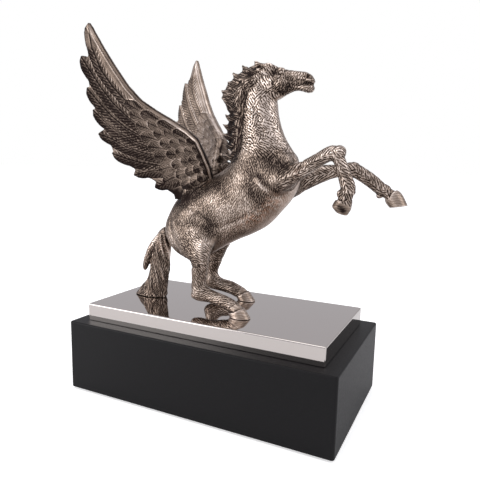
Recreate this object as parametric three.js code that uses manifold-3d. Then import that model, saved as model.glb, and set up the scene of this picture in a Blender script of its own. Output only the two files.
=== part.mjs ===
// Figure trophy: a rearing winged horse in antiqued silver plate, on a mirror-bright tray and a black block.
// Millimetres, +Z up. The origin is the middle of the block's underside, and the horse faces +X.
// Sizes of the horse are given in a side view (x, z) with z = 0 on the tray, at FIGURE_HEIGHT below.
import * as THREE from 'three';
import { mergeVertices } from 'three/addons/utils/BufferGeometryUtils.js';
import Module from 'manifold-3d';

const wasm = await Module();
wasm.setup();

// ---- driving sizes -------------------------------------------------------------------------------------
const GAP = 0.3;                  // clearance kept between two pieces that touch
const BLOCK_LENGTH = 190;
const BLOCK_WIDTH = 105;
const BLOCK_HEIGHT = 48.7;
const BLOCK_EDGE = 2.5;           // rounding of the block's long edges
const BLOCK_CORNER = 4;           // plan radius of its upright corners
const FELT_THICKNESS = 1;
const FELT_INSET = 3;             // felt stops this far inside the block's edge

const TRAY_LENGTH = 172;
const TRAY_WIDTH = 87;
const TRAY_HEIGHT = 11.7;
const TRAY_SHEET = 1;             // sheet thickness
const TRAY_BEND = 1.6;            // outside radius of the folded edge
const TRAY_CORNER = 2.4;          // plan radius of its upright corners

const FIGURE_HEIGHT = 181.3;      // tray top to wing tip
const DRAWN_HEIGHT = 181.3;       // the height that the horse's sections below are drawn at
const STUD_RADIUS = 1.25;         // M2.5 studs that hold the casting down
const STUD_DEPTH = 4;             // how far a stud enters a hoof
const WASHER_RADIUS = 3.2;
const WASHER_THICKNESS = 0.5;
const NUT_ACROSS_CORNERS = 5.8;
const NUT_HEIGHT = 2;
const NUT_POCKET_DEPTH = 4.4;     // counterbore under the core board, deep enough for washer and nut

const SCREW_RADIUS = 2;           // wood screws, block to core board
const SCREW_HEAD_RADIUS = 4;
const SCREW_HEAD_HEIGHT = 2.6;
const SCREW_RIM = 0.8;            // straight rim of its countersunk head
const SCREW_POINT = 3;            // length of its point
const SCREW_LENGTH = 28;
const SCREW_BITE = 7;             // length of thread in the core board
const SCREW_INSET = 18;           // screw axis to the core board's edges

const SPIGOT_RADIUS = 1.5;        // peg that locates a leg or the tail in the body
const SPIGOT_LENGTH = 5;
const WING_PIN_RADIUS = 1.25;
const WING_PIN_LENGTH = 17;
const WING_THICKNESS = 2.2;       // thickness of the feathered plate

const BODY_SIDES = 16;            // facets round the trunk and neck
const HEAD_SIDES = 12;
const LIMB_SIDES = 10;            // facets round legs and tail
const MANE_SIDES = 8;
const EAR_SIDES = 6;
const BORE_SIDES = 16;            // facets round a bore or washer
const PIN_SIDES = 12;             // facets round a stud, peg, pin or screw
const NUT_SIDES = 6;
const EDGE_STEPS = 3;             // facets across a slab's rounded edge
const CORNER_STEPS = 4;           // facets round a quarter of a slab's upright corner
const SMALLEST_ROUND = 0.2;       // no rounding is drawn smaller
const RIGHT = -1;                 // the horse's right side, and its left
const LEFT = 1;
const OVERSHOOT = 1;              // how far a cutter stands past the face it cuts
const WELD_DISTANCE = 1e-4;       // points closer than this are one point

// ---- levels worked out from the sizes -------------------------------------------------------------------
const BLOCK_BOTTOM = FELT_THICKNESS + GAP;
const BLOCK_TOP = BLOCK_BOTTOM + BLOCK_HEIGHT;
const TRAY_BOTTOM = BLOCK_TOP + GAP;
const TRAY_TOP = TRAY_BOTTOM + TRAY_HEIGHT;
const CORE_BOTTOM = TRAY_BOTTOM;
const CORE_TOP = TRAY_TOP - TRAY_SHEET - GAP;
const SCALE = FIGURE_HEIGHT / DRAWN_HEIGHT;
const HOOF_LEVEL = TRAY_TOP + GAP;

// ---- finishes -------------------------------------------------------------------------------------------
const FINISHES = {
  antique_silver: { color: 0x8f8a84, roughness: 0.38, metalness: 0.95 },
  antique_silver_wing: { color: 0x7b7672, roughness: 0.4, metalness: 0.95 },
  mirror_nickel: { color: 0xc9c2be, roughness: 0.06, metalness: 1 },
  black_lacquer: { color: 0x1a191b, roughness: 0.45, metalness: 0 },
  fibre_board: { color: 0x9a7a55, roughness: 0.85, metalness: 0 },
  felt: { color: 0x16241b, roughness: 1, metalness: 0 },
  zinc_steel: { color: 0xa9abab, roughness: 0.35, metalness: 0.9 },
};

// ---- the horse, station by station ----------------------------------------------------------------------
// A station is [top x, top z, under x, under z, side y, half width]: one oval section of a limb or the trunk.
const TRUNK = [
  [-50, 53, -46, 43, -1, 5], [-49.5, 58.5, -39, 34, -1, 11.5], [-45, 67, -28, 31, -1, 15.5],
  [-38, 75, -14, 35, -1, 16.5], [-28, 82.5, -2, 42, -1, 16], [-17, 88, 9, 48, -1, 16.5],
  [-6, 93, 20, 53, -1, 17], [0, 97, 31, 59.5, -1, 17], [3, 100.5, 40, 69, -1, 17],
  [5, 104, 48, 79, -1, 16], [6, 109, 53.5, 93, -1, 14.5], [8, 116, 50, 103, -1, 12],
  [8, 124, 42.5, 114, -1, 10.5], [8, 132, 38.6, 122, -1, 9.5], [9, 141, 36, 131, -1, 9],
  [13, 150, 35, 139, -1, 8],
];
const HEAD = [
  [18, 156, 29, 139.5, -1, 5.5], [26, 159.5, 36, 141, -1, 6.6], [35, 159.5, 41.5, 143, -1, 6.8],
  [42, 157.6, 47, 144.4, -1, 5.2], [48, 156.6, 51, 143.8, -1, 4.2], [54, 155, 54.7, 143.6, -1, 4],
  [57.6, 152.6, 57.4, 145, -1, 3.4], [59, 150, 58.4, 147.4, -1, 1.6],
];
const MANE = [
  [6, 101, 12, 99, -1, 2], [-4.5, 105, 13, 108, -1, 3.2], [0, 113, 13, 113, -1, 3.6],
  [-4.2, 119.4, 13, 119, -1, 3.4], [0, 126, 13, 126, -1, 3.8], [-2.4, 132, 13, 132, -1, 3.4],
  [-0.5, 138, 14, 137, -1, 3.8], [-6, 146, 15, 141, -1, 3.2], [0, 150, 17, 146, -1, 3.8],
  [3, 158, 20, 150, -1, 3.4], [9.5, 161.5, 23, 153, -1, 3.6], [18.5, 165, 28, 156, -1, 2.6],
];
const EAR = [[27, 160.5, 23, 154.5, 4, 2], [23, 162.5, 19.5, 157.5, 4.4, 1.8], [19, 166.2, 17.8, 164.8, 4.8, 0.6]];

const RIGHT_THIGH = [
  [-12, 60, -40, 52, -9, 7], [-3.1, 52.2, -35.2, 43.9, -11.5, 7.4], [-4.7, 43.3, -27, 35, -14.3, 6.8],
  [-5.2, 38.7, -19, 33.2, -16.5, 5.6], [-4.9, 31.3, -17.6, 28.5, -17.5, 5.2],
];
const RIGHT_HIND_LEG = [
  [-4.9, 31.3, -17.6, 28.5, -17.5, 5.2], [-6.3, 24.2, -17.4, 21.5, -17.5, 4.6],
  [-7.2, 18.8, -17.5, 14.5, -17.5, 4.4], [-6.2, 17.3, -16.1, 7.6, -17.5, 4.6],
  [-3.5, 15.6, -11.3, 5.8, -17.5, 4.2], [1.5, 14.3, -3.1, 6, -18, 3.6], [9.6, 12.9, 6, 4.2, -19, 3.6],
  [15.5, 11.1, 11.6, 3.1, -19.5, 4], [19.8, 8.6, 13.8, 2.2, -20, 3.7], [24.5, 5.6, 14, 1.4, -20.6, 4.4],
  [28.8, 0, 14.2, 0, -21, 5],
];
const LEFT_THIGH = [
  [-14, 58, -38, 50, 8, 7], [-3.2, 46, -30, 39.5, 11.5, 7.4], [-7.7, 37.4, -23.5, 34, 13.8, 6],
  [-12.2, 28.6, -23.7, 26.6, 15, 5.2],
];
const LEFT_HIND_LEG = [
  [-12.2, 28.6, -23.7, 26.6, 15, 5.2], [-16, 20.4, -25.1, 18.2, 16, 4.4], [-15, 17, -26.7, 9.9, 16, 4.6],
  [-12.2, 14.8, -23.3, 6.2, 17, 4.4], [-4.8, 13.4, -13.4, 4.6, 18, 3.8], [0.5, 11.3, -5.6, 2.8, 18.5, 3.9],
  [4.6, 9.2, -2.8, 1.7, 19, 4], [9.1, 6.3, -0.2, 1, 19, 4.4], [13.9, 0, 0.4, 0, 19, 5],
];
const RIGHT_SHOULDER = [[46, 97, 38, 78, -8, 8], [58.2, 102.5, 56.5, 89.8, -12.5, 5.6]];
const RIGHT_FORELEG = [
  [58.2, 102.5, 56.5, 89.8, -12.5, 5.6], [65.8, 106.5, 65.1, 96, -13, 4.8],
  [72.6, 110.4, 72.2, 100.4, -13, 4.6], [77.1, 111, 75.5, 101.7, -13, 4.8], [81, 108, 76.6, 100.6, -13, 4.6],
  [83.3, 103.5, 78, 98, -13, 4], [85.6, 98.7, 79.1, 93.9, -13, 3.6], [87.9, 93.6, 80.2, 89.9, -13, 3.6],
  [89.8, 89.1, 81.3, 85.9, -13, 4], [90.3, 85.3, 82, 83.3, -13, 4.1], [88.9, 81.3, 80.5, 81.1, -13, 3.8],
  [88.6, 76.5, 78, 77.4, -13, 4.6], [86, 70.5, 80, 72.6, -13, 3.4],
];
const LEFT_SHOULDER = [[46, 94, 38, 74, 6, 8], [57.3, 99.1, 52.8, 83, 9, 6]];
const LEFT_FORELEG = [
  [57.3, 99.1, 52.8, 83, 9, 6], [65.8, 100.2, 63.4, 88.4, 10, 5.2], [72, 100.3, 72.4, 91.8, 10, 4.7],
  [80.8, 101.9, 80, 92, 10, 4.8], [85.2, 101.1, 82.9, 92.1, 10, 4.6], [90.2, 98.4, 87.4, 89.8, 10, 4],
  [96.7, 94.3, 93.2, 86, 10, 3.7], [102.7, 89.3, 97.8, 82.7, 10, 4], [106.5, 86.5, 101.5, 81.4, 10, 3.7],
  [109.6, 84.9, 103.2, 79.6, 10, 4.2], [113.4, 82.4, 104.2, 77, 10, 4.7], [116.7, 76.4, 106.5, 74.6, 10, 4.6],
];
// The open mouth, cut across the head: its corner, then under and over the gap past the lips.
const MOUTH_SLIT = [[49, 146.9], [62, 145.6], [62, 148.6]];
const MOUTH_CUT_WIDTH = 20;
const TAIL_DOCK = [[-43, 57, -39, 48, -1, 3.6], [-51.8, 53, -46.9, 44.8, -1, 4]];
const TAIL = [
  [-51.8, 53, -46.9, 44.8, -1, 4], [-57, 49.5, -47.8, 42.6, -1, 4.8], [-61.1, 40.6, -46.8, 36.5, -2, 5.4],
  [-63.6, 33, -46.3, 28, -3, 6], [-68.2, 21.5, -47.2, 20.5, -3, 6.2], [-66.8, 12.8, -47.3, 12.2, -4, 6],
  [-72.5, 4.8, -48, 4.8, -4, 6], [-76.8, 0, -49.2, 0, -4, 6.2],
];
// Where a stud enters each hoof and the tail: x, y on the tray.
const STUD_PLACES = { right_hoof: [21.4, -21], left_hoof: [7.2, 19], tail: [-62, -4] };

// ---- the wing, in its own plane -------------------------------------------------------------------------
// Points are [back, up, bulge]: back and up lie in the wing's plane, bulge stands out of it to the front.
const WING_ROOT = [-3.2, -4.1, 98.4];
const WING_OUT = [0.398, -0.867, -0.3];
const WING_LEADING = [
  [3.9, -14, 2], [7.1, -0.4, 2], [10.7, 9.4, 3], [14.7, 18.9, 4.2], [21.1, 24.8, 5.2], [30.8, 31.4, 6.4],
  [39.8, 37.3, 8.4], [48.6, 43.7, 9.6], [56, 51.8, 8.8], [63.4, 62.6, 6.8], [70.2, 73.2, 4.2], [78.2, 87, 0.8],
];
const WING_TRAILING = [
  [82, 68, 1], [86, 67.9, 0.5], [83.6, 51.2, 1], [84.8, 48.9, 0], [81.1, 36.2, 1], [82.6, 35, 0],
  [75.8, 22.7, 1], [80.8, 20, 0], [72.7, 8.4, 1], [73.4, 6.6, 0], [59.7, -3.6, 1], [59.6, -7.8, 0.5],
  [46.2, -11.6, 1], [45.8, -17, 1], [31.1, -25.7, 2],
];
// The wing's arm: its root sections, each [back, up, bulge, half width, half thickness], then the sections
// that follow the leading edge, each [number of the leading point, half width, half thickness].
const WING_ARM_ROOT = [[16, -26, 3, 13, 4.6], [15, -12, 3.8, 12, 4.8], [16.5, 2, 3.6, 10, 4]];
const WING_ARM_RIM = [
  [3, 6, 3], [5, 4.4, 2.3], [6, 3.8, 2.1], [7, 3.4, 2], [8, 3, 1.9], [9, 2.7, 1.7], [10, 2, 1.5],
];
const WING_ARM_OVERHANG = 0.5;    // how far the arm's rim stands past the plate's edge
const WING_PIN_PLACE = [15, -21, 3.8];

// ---- helpers --------------------------------------------------------------------------------------------
function solidOf(geometry) {
  const bare = geometry.clone();
  bare.deleteAttribute('normal');
  bare.deleteAttribute('uv');
  const welded = mergeVertices(bare, WELD_DISTANCE);
  return new wasm.Manifold(new wasm.Mesh({
    numProp: 3,
    vertProperties: new Float32Array(welded.attributes.position.array),
    triVerts: new Uint32Array(welded.index.array),
  }));
}

function geometryOf(solid) {
  const mesh = solid.getMesh();
  const geometry = new THREE.BufferGeometry();
  geometry.setAttribute('position', new THREE.BufferAttribute(new Float32Array(mesh.vertProperties), 3));
  geometry.setIndex(new THREE.BufferAttribute(new Uint32Array(mesh.triVerts), 1));
  geometry.computeVertexNormals();
  return geometry;
}

// The largest of the bodies a cut leaves, so that no loose crumb stays beside a casting.
function largest(solid) {
  return solid.decompose().reduce((best, piece) => (piece.volume() > best.volume() ? piece : best));
}

// The solid over these points and triangles, turned right side out.
function outward(points, index) {
  const geometry = new THREE.BufferGeometry();
  geometry.setAttribute('position', new THREE.Float32BufferAttribute(
    points.flatMap((point) => [point.x, point.y, point.z]), 3));
  geometry.setIndex(index);
  const solid = solidOf(geometry);
  if (solid.volume() > 0) {
    return solid;
  }
  geometry.setIndex(index.reverse());
  return solidOf(geometry);
}

// A closed skin over rings of points, each ring an array of Vector3 of the same length.
function skin(rings) {
  const count = rings[0].length;
  const index = [];
  for (let row = 0; row < rings.length - 1; row += 1) {
    for (let k = 0; k < count; k += 1) {
      const a = row * count + k;
      const b = row * count + ((k + 1) % count);
      index.push(a, b, b + count, a, b + count, a + count);
    }
  }
  const last = (rings.length - 1) * count;
  for (let k = 1; k < count - 1; k += 1) {
    index.push(0, k + 1, k);
    index.push(last, last + k, last + k + 1);
  }
  return outward(rings.flat(), index);
}

// Middle of a station, in the part's own millimetres.
function stationCentre([topX, topZ, underX, underZ, side]) {
  return new THREE.Vector3((topX + underX) / 2, side, (topZ + underZ) / 2).multiplyScalar(SCALE)
    .add(new THREE.Vector3(0, 0, HOOF_LEVEL));
}

function stationRing(station, sides, grow) {
  const [topX, topZ, underX, underZ, , halfWidth] = station;
  const half = new THREE.Vector3((topX - underX) / 2, 0, (topZ - underZ) / 2).multiplyScalar(SCALE);
  half.setLength(half.length() + grow);
  const across = new THREE.Vector3(0, halfWidth * SCALE + grow, 0);
  const centre = stationCentre(station);
  return Array.from({ length: sides }, (_, k) => {
    const turn = (2 * Math.PI * k) / sides;
    return centre.clone().addScaledVector(half, Math.cos(turn)).addScaledVector(across, Math.sin(turn));
  });
}

function limb(stations, sides, grow = 0) {
  return skin(stations.map((station) => stationRing(station, sides, grow)));
}

// A round peg between two points.
function peg(from, to, radius, sides = PIN_SIDES) {
  const axis = new THREE.Vector3().subVectors(to, from);
  const geometry = new THREE.CylinderGeometry(radius, radius, axis.length(), sides);
  geometry.applyQuaternion(new THREE.Quaternion().setFromUnitVectors(
    new THREE.Vector3(0, 1, 0), axis.clone().normalize()));
  geometry.translate((from.x + to.x) / 2, (from.y + to.y) / 2, (from.z + to.z) / 2);
  return solidOf(geometry);
}

function upright(x, y, bottom, top, radius, sides = BORE_SIDES) {
  return peg(new THREE.Vector3(x, y, bottom), new THREE.Vector3(x, y, top), radius, sides);
}

function roundedRectangle(length, width, radius) {
  const shape = new THREE.Shape();
  const x = length / 2;
  const y = width / 2;
  shape.moveTo(-x + radius, -y);
  shape.lineTo(x - radius, -y);
  shape.absarc(x - radius, -y + radius, radius, -Math.PI / 2, 0, false);
  shape.lineTo(x, y - radius);
  shape.absarc(x - radius, y - radius, radius, 0, Math.PI / 2, false);
  shape.lineTo(-x + radius, y);
  shape.absarc(-x + radius, y - radius, radius, Math.PI / 2, Math.PI, false);
  shape.lineTo(-x, -y + radius);
  shape.absarc(-x + radius, -y + radius, radius, Math.PI, 1.5 * Math.PI, false);
  return shape;
}

// A slab with rounded upright corners and, where edge is more than 0, rounded top and bottom edges.
function slab(length, width, bottom, top, corner, edge = 0) {
  const inner = Math.max(corner - edge, SMALLEST_ROUND);
  const shape = roundedRectangle(length - 2 * edge, width - 2 * edge, inner);
  const geometry = new THREE.ExtrudeGeometry(shape, {
    depth: top - bottom - 2 * edge, bevelEnabled: edge > 0, bevelThickness: edge, bevelSize: edge,
    bevelSegments: EDGE_STEPS, curveSegments: CORNER_STEPS,
  });
  geometry.translate(0, 0, bottom + edge);
  return solidOf(geometry);
}

// ---- base -----------------------------------------------------------------------------------------------
const CORE_LENGTH = TRAY_LENGTH - 2 * (TRAY_SHEET + GAP);
const CORE_WIDTH = TRAY_WIDTH - 2 * (TRAY_SHEET + GAP);

function studPlaces() {
  return Object.entries(STUD_PLACES).map(([name, [x, y]]) => ({ name, x: x * SCALE, y: y * SCALE }));
}

function screwPlaces() {
  const x = CORE_LENGTH / 2 - SCREW_INSET;
  const y = CORE_WIDTH / 2 - SCREW_INSET;
  return [[-x, -y], [x, -y], [-x, y], [x, y]].map(([px, py], k) => ({ name: `${k + 1}`, x: px, y: py }));
}

const SCREW_TIP = CORE_BOTTOM + SCREW_BITE;
const SCREW_FOOT = SCREW_TIP - SCREW_LENGTH;   // where the flat of the screw's head looks down

function block() {
  let solid = slab(BLOCK_LENGTH, BLOCK_WIDTH, BLOCK_BOTTOM, BLOCK_TOP, BLOCK_CORNER, BLOCK_EDGE);
  for (const { x, y } of screwPlaces()) {
    solid = solid.subtract(upright(x, y, 0, SCREW_FOOT + SCREW_HEAD_HEIGHT + GAP, SCREW_HEAD_RADIUS + GAP));
    solid = solid.subtract(upright(x, y, 0, BLOCK_TOP + OVERSHOOT, SCREW_RADIUS + GAP));
  }
  return solid;
}

function tray() {
  const foot = TRAY_BOTTOM - 2 * TRAY_BEND;    // the rounded lower edge is cut off at TRAY_BOTTOM
  const outer = slab(TRAY_LENGTH, TRAY_WIDTH, foot, TRAY_TOP, TRAY_CORNER, TRAY_BEND);
  const inner = slab(TRAY_LENGTH - 2 * TRAY_SHEET, TRAY_WIDTH - 2 * TRAY_SHEET, foot - OVERSHOOT,
    TRAY_TOP - TRAY_SHEET, Math.max(TRAY_CORNER - TRAY_SHEET, SMALLEST_ROUND),
    Math.max(TRAY_BEND - TRAY_SHEET, SMALLEST_ROUND));
  const below = slab(2 * TRAY_LENGTH, 2 * TRAY_WIDTH, TRAY_BOTTOM - TRAY_HEIGHT, TRAY_BOTTOM, TRAY_CORNER);
  let solid = outer.subtract(inner).subtract(below);
  for (const { x, y } of studPlaces()) {
    solid = solid.subtract(upright(x, y, TRAY_TOP - 2 * TRAY_SHEET, TRAY_TOP + OVERSHOOT, STUD_RADIUS + GAP));
  }
  return solid;
}

function coreBoard() {
  const corner = Math.max(TRAY_CORNER - TRAY_SHEET - GAP, SMALLEST_ROUND);
  let solid = slab(CORE_LENGTH, CORE_WIDTH, CORE_BOTTOM, CORE_TOP, corner);
  const chamfer = TRAY_BEND;
  const keep = slab(CORE_LENGTH, CORE_WIDTH, CORE_BOTTOM - 2 * chamfer, CORE_TOP, corner + chamfer, chamfer);
  solid = solid.intersect(keep);
  for (const { x, y } of studPlaces()) {
    solid = solid.subtract(upright(x, y, CORE_BOTTOM - OVERSHOOT, CORE_TOP + OVERSHOOT, STUD_RADIUS + GAP));
    solid = solid.subtract(
      upright(x, y, CORE_BOTTOM - OVERSHOOT, CORE_BOTTOM + NUT_POCKET_DEPTH, WASHER_RADIUS + GAP));
  }
  for (const { x, y } of screwPlaces()) {
    solid = solid.subtract(upright(x, y, CORE_BOTTOM - OVERSHOOT, SCREW_TIP + GAP, SCREW_RADIUS + GAP));
  }
  return solid;
}

function feltPad() {
  return slab(BLOCK_LENGTH - 2 * FELT_INSET, BLOCK_WIDTH - 2 * FELT_INSET, 0, FELT_THICKNESS, BLOCK_CORNER);
}

function woodScrew({ x, y }) {
  const profile = [
    [0, 0], [SCREW_HEAD_RADIUS, 0], [SCREW_HEAD_RADIUS, SCREW_RIM], [SCREW_RADIUS, SCREW_HEAD_HEIGHT],
    [SCREW_RADIUS, SCREW_LENGTH - SCREW_POINT], [0, SCREW_LENGTH],
  ].map(([r, h]) => new THREE.Vector2(r, h));
  const geometry = new THREE.LatheGeometry(profile, PIN_SIDES);
  geometry.rotateX(Math.PI / 2);
  geometry.translate(x, y, SCREW_FOOT);
  return solidOf(geometry);
}

const WASHER_TOP = CORE_BOTTOM + NUT_POCKET_DEPTH - GAP;
const NUT_TOP = WASHER_TOP - WASHER_THICKNESS - GAP;

function washer({ x, y }) {
  const ring = upright(x, y, WASHER_TOP - WASHER_THICKNESS, WASHER_TOP, WASHER_RADIUS);
  return ring.subtract(upright(x, y, 0, TRAY_TOP, STUD_RADIUS + GAP));
}

function nut({ x, y }) {
  const hexagon = upright(x, y, NUT_TOP - NUT_HEIGHT, NUT_TOP, NUT_ACROSS_CORNERS / 2, NUT_SIDES);
  return hexagon.subtract(upright(x, y, 0, TRAY_TOP, STUD_RADIUS + GAP, PIN_SIDES));
}

function stud({ x, y }) {
  return upright(x, y, CORE_BOTTOM + GAP, HOOF_LEVEL + STUD_DEPTH - GAP, STUD_RADIUS, PIN_SIDES);
}

function studSocket({ x, y }) {
  return upright(x, y, HOOF_LEVEL - OVERSHOOT, HOOF_LEVEL + STUD_DEPTH, STUD_RADIUS + GAP, PIN_SIDES);
}

// ---- horse ----------------------------------------------------------------------------------------------
// Direction in which a limb leaves the body, at the seam between stub and limb.
function seamDirection(stub) {
  const seam = stationCentre(stub[stub.length - 1]);
  return seam.sub(stationCentre(stub[stub.length - 2])).normalize();
}

function seamPeg(stub, extraLength, radius) {
  const seam = stationCentre(stub[stub.length - 1]);
  const outward = seamDirection(stub);
  const tip = seam.clone().addScaledVector(outward, -SPIGOT_LENGTH - extraLength);
  return peg(tip, seam.clone().addScaledVector(outward, GAP + OVERSHOOT), radius);
}

// A cast limb: it starts one gap past the stub's end and carries the peg that locates it.
function castLimb(stub, stations) {
  const rings = stations.map((station) => stationRing(station, LIMB_SIDES, 0));
  const shift = seamDirection(stub).multiplyScalar(GAP);
  rings[0].forEach((point) => point.add(shift));
  return skin(rings).add(seamPeg(stub, 0, SPIGOT_RADIUS));
}

const STUBS = [RIGHT_THIGH, LEFT_THIGH, RIGHT_SHOULDER, LEFT_SHOULDER, TAIL_DOCK];

function mouthSlit() {
  const shape = new THREE.Shape(MOUTH_SLIT.map(([x, z]) => new THREE.Vector2(x, z)));
  const geometry = new THREE.ExtrudeGeometry(shape, { depth: MOUTH_CUT_WIDTH, bevelEnabled: false });
  geometry.rotateX(Math.PI / 2);
  geometry.translate(0, MOUTH_CUT_WIDTH / 2, 0);
  geometry.scale(SCALE, SCALE, SCALE);
  geometry.translate(0, 0, HOOF_LEVEL);
  return solidOf(geometry);
}

function mirrored(stations) {
  return stations.map(([topX, topZ, underX, underZ, side, half]) => [topX, topZ, underX, underZ, -side, half]);
}

function bodyBlank(grow) {
  let solid = limb(TRUNK, BODY_SIDES, grow);
  solid = solid.add(limb(HEAD, HEAD_SIDES, grow));
  solid = solid.add(limb(MANE, MANE_SIDES, grow));
  for (const stub of STUBS) {
    solid = solid.add(limb(stub, LIMB_SIDES, grow));
  }
  for (const ear of [EAR, mirrored(EAR)]) {
    solid = solid.add(limb(ear, EAR_SIDES, grow));
  }
  return solid;
}

// A frame for each wing: side is RIGHT or LEFT.
function wingFrame(side) {
  const flip = new THREE.Vector3(1, -side, 1);
  const out = new THREE.Vector3(...WING_OUT).normalize();
  const up = new THREE.Vector3(0, 0, 1).addScaledVector(out, -out.z).normalize();
  const back = new THREE.Vector3().crossVectors(up, out);
  if (back.x > 0) {
    back.negate();
  }
  const origin = new THREE.Vector3(...WING_ROOT);
  const toPart = (point) => point.multiply(flip).multiplyScalar(SCALE).add(new THREE.Vector3(0, 0, HOOF_LEVEL));
  return {
    place: ([a, b, h]) => toPart(origin.clone().addScaledVector(back, a).addScaledVector(up, b)
      .addScaledVector(out, h)),
  };
}

function wingPlate(frame) {
  let outline = [...WING_LEADING, ...WING_TRAILING];
  if (THREE.ShapeUtils.isClockWise(outline.map(([a, b]) => new THREE.Vector2(a, b)))) {
    outline = outline.reverse();
  }
  const flat = outline.map(([a, b]) => new THREE.Vector2(a, b));
  const faces = THREE.ShapeUtils.triangulateShape(flat, []);
  const layer = (offset) => outline.map(([a, b, h]) => frame.place([a, b, h + offset / SCALE]));
  const points = [...layer(-WING_THICKNESS / 2), ...layer(WING_THICKNESS / 2)];
  const count = outline.length;
  const index = [];
  for (const face of faces) {
    const clockwise = THREE.ShapeUtils.isClockWise(face.map((k) => flat[k]));
    const [a, b, c] = clockwise ? [face[0], face[2], face[1]] : face;
    index.push(a, c, b, a + count, b + count, c + count);
  }
  for (let k = 0; k < count; k += 1) {
    const next = (k + 1) % count;
    index.push(k, next, next + count, k, next + count, k + count);
  }
  return outward(points, index);
}

// Sections of the arm along the wing, each [back, up, bulge, half width, half thickness].
function wingArmSections() {
  const rim = WING_ARM_RIM.map(([at, wide, thick]) => {
    const [a, b, h] = WING_LEADING[at];
    const before = WING_LEADING[at - 1];
    const after = WING_LEADING[at + 1];
    const along = new THREE.Vector2(after[0] - before[0], after[1] - before[1]).normalize();
    const inward = wide - WING_ARM_OVERHANG;
    return [a + along.y * inward, b - along.x * inward, h, wide, thick];
  });
  return [...WING_ARM_ROOT, ...rim];
}

function wingArm(frame) {
  const sections = wingArmSections();
  const rings = sections.map(([a, b, h, wide, thick], k) => {
    const before = sections[Math.max(k - 1, 0)];
    const after = sections[Math.min(k + 1, sections.length - 1)];
    const along = new THREE.Vector2(after[0] - before[0], after[1] - before[1]).normalize();
    return Array.from({ length: LIMB_SIDES }, (_, j) => {
      const turn = (2 * Math.PI * j) / LIMB_SIDES;
      const across = wide * Math.cos(turn);
      return frame.place([a + along.y * across, b - along.x * across, h + thick * Math.sin(turn)]);
    });
  });
  return skin(rings);
}

function wingPin(side, grow, extra) {
  const [a, b, h] = WING_PIN_PLACE;
  const { place } = wingFrame(side);
  const foot = place([a, b, h]);
  const along = place([a, b + 1, h]).sub(foot).normalize();
  const head = foot.clone().addScaledVector(along, WING_PIN_LENGTH + extra);
  return peg(foot.addScaledVector(along, -extra), head, WING_PIN_RADIUS + grow);
}

function wing(side, blank) {
  const frame = wingFrame(side);
  const whole = wingPlate(frame).add(wingArm(frame)).subtract(blank);
  return largest(whole.subtract(wingPin(side, GAP, GAP)));
}

function bodyCasting() {
  let solid = bodyBlank(0).subtract(mouthSlit());
  for (const stub of STUBS) {
    solid = solid.subtract(seamPeg(stub, GAP, SPIGOT_RADIUS + GAP));
  }
  for (const side of [RIGHT, LEFT]) {
    solid = solid.subtract(wingPin(side, GAP, GAP));
  }
  return largest(solid);
}

// ---- assembly -------------------------------------------------------------------------------------------
const group = new THREE.Group();

function addPiece(name, solid, finish) {
  const mesh = new THREE.Mesh(geometryOf(solid), new THREE.MeshStandardMaterial(FINISHES[finish]));
  mesh.name = name;
  group.add(mesh);
}

function addBase() {
  addPiece('felt_pad', feltPad(), 'felt');
  addPiece('plinth_block', block(), 'black_lacquer');
  addPiece('mirror_tray', tray(), 'mirror_nickel');
  addPiece('core_board', coreBoard(), 'fibre_board');
  for (const place of screwPlaces()) {
    addPiece(`plinth_screw_${place.name}`, woodScrew(place), 'zinc_steel');
  }
  for (const place of studPlaces()) {
    addPiece(`${place.name}_stud`, stud(place), 'zinc_steel');
    addPiece(`${place.name}_washer`, washer(place), 'zinc_steel');
    addPiece(`${place.name}_nut`, nut(place), 'zinc_steel');
  }
}

function addHorse() {
  const sockets = Object.fromEntries(studPlaces().map((place) => [place.name, studSocket(place)]));
  const blank = bodyBlank(GAP);
  addPiece('body_casting', bodyCasting(), 'antique_silver');
  addPiece('right_foreleg', castLimb(RIGHT_SHOULDER, RIGHT_FORELEG), 'antique_silver');
  addPiece('left_foreleg', castLimb(LEFT_SHOULDER, LEFT_FORELEG), 'antique_silver');
  addPiece('right_hind_leg', castLimb(RIGHT_THIGH, RIGHT_HIND_LEG).subtract(sockets.right_hoof), 'antique_silver');
  addPiece('left_hind_leg', castLimb(LEFT_THIGH, LEFT_HIND_LEG).subtract(sockets.left_hoof), 'antique_silver');
  addPiece('tail', castLimb(TAIL_DOCK, TAIL).subtract(sockets.tail), 'antique_silver');
  addPiece('right_wing', wing(RIGHT, blank), 'antique_silver_wing');
  addPiece('left_wing', wing(LEFT, blank), 'antique_silver_wing');
  addPiece('right_wing_pin', wingPin(RIGHT, 0, 0), 'zinc_steel');
  addPiece('left_wing_pin', wingPin(LEFT, 0, 0), 'zinc_steel');
}

addBase();
addHorse();

export default group;
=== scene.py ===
"""Figure trophy: a rearing winged horse in antiqued silver on a mirror tray and a black block.

The horse is modelled the way a bronze is: clay masses are laid over a set of oval sections, melted together,
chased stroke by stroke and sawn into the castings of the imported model. Sections are in millimetres in the
horse's own side view, x forward and z up from the tray.
"""
from __future__ import annotations

import logging
import math
from dataclasses import dataclass, field
from enum import Enum
from typing import Iterable, Sequence

import bmesh
import bpy
import numpy as np
from mathutils import Matrix, Vector, noise
from mathutils.kdtree import KDTree


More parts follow.
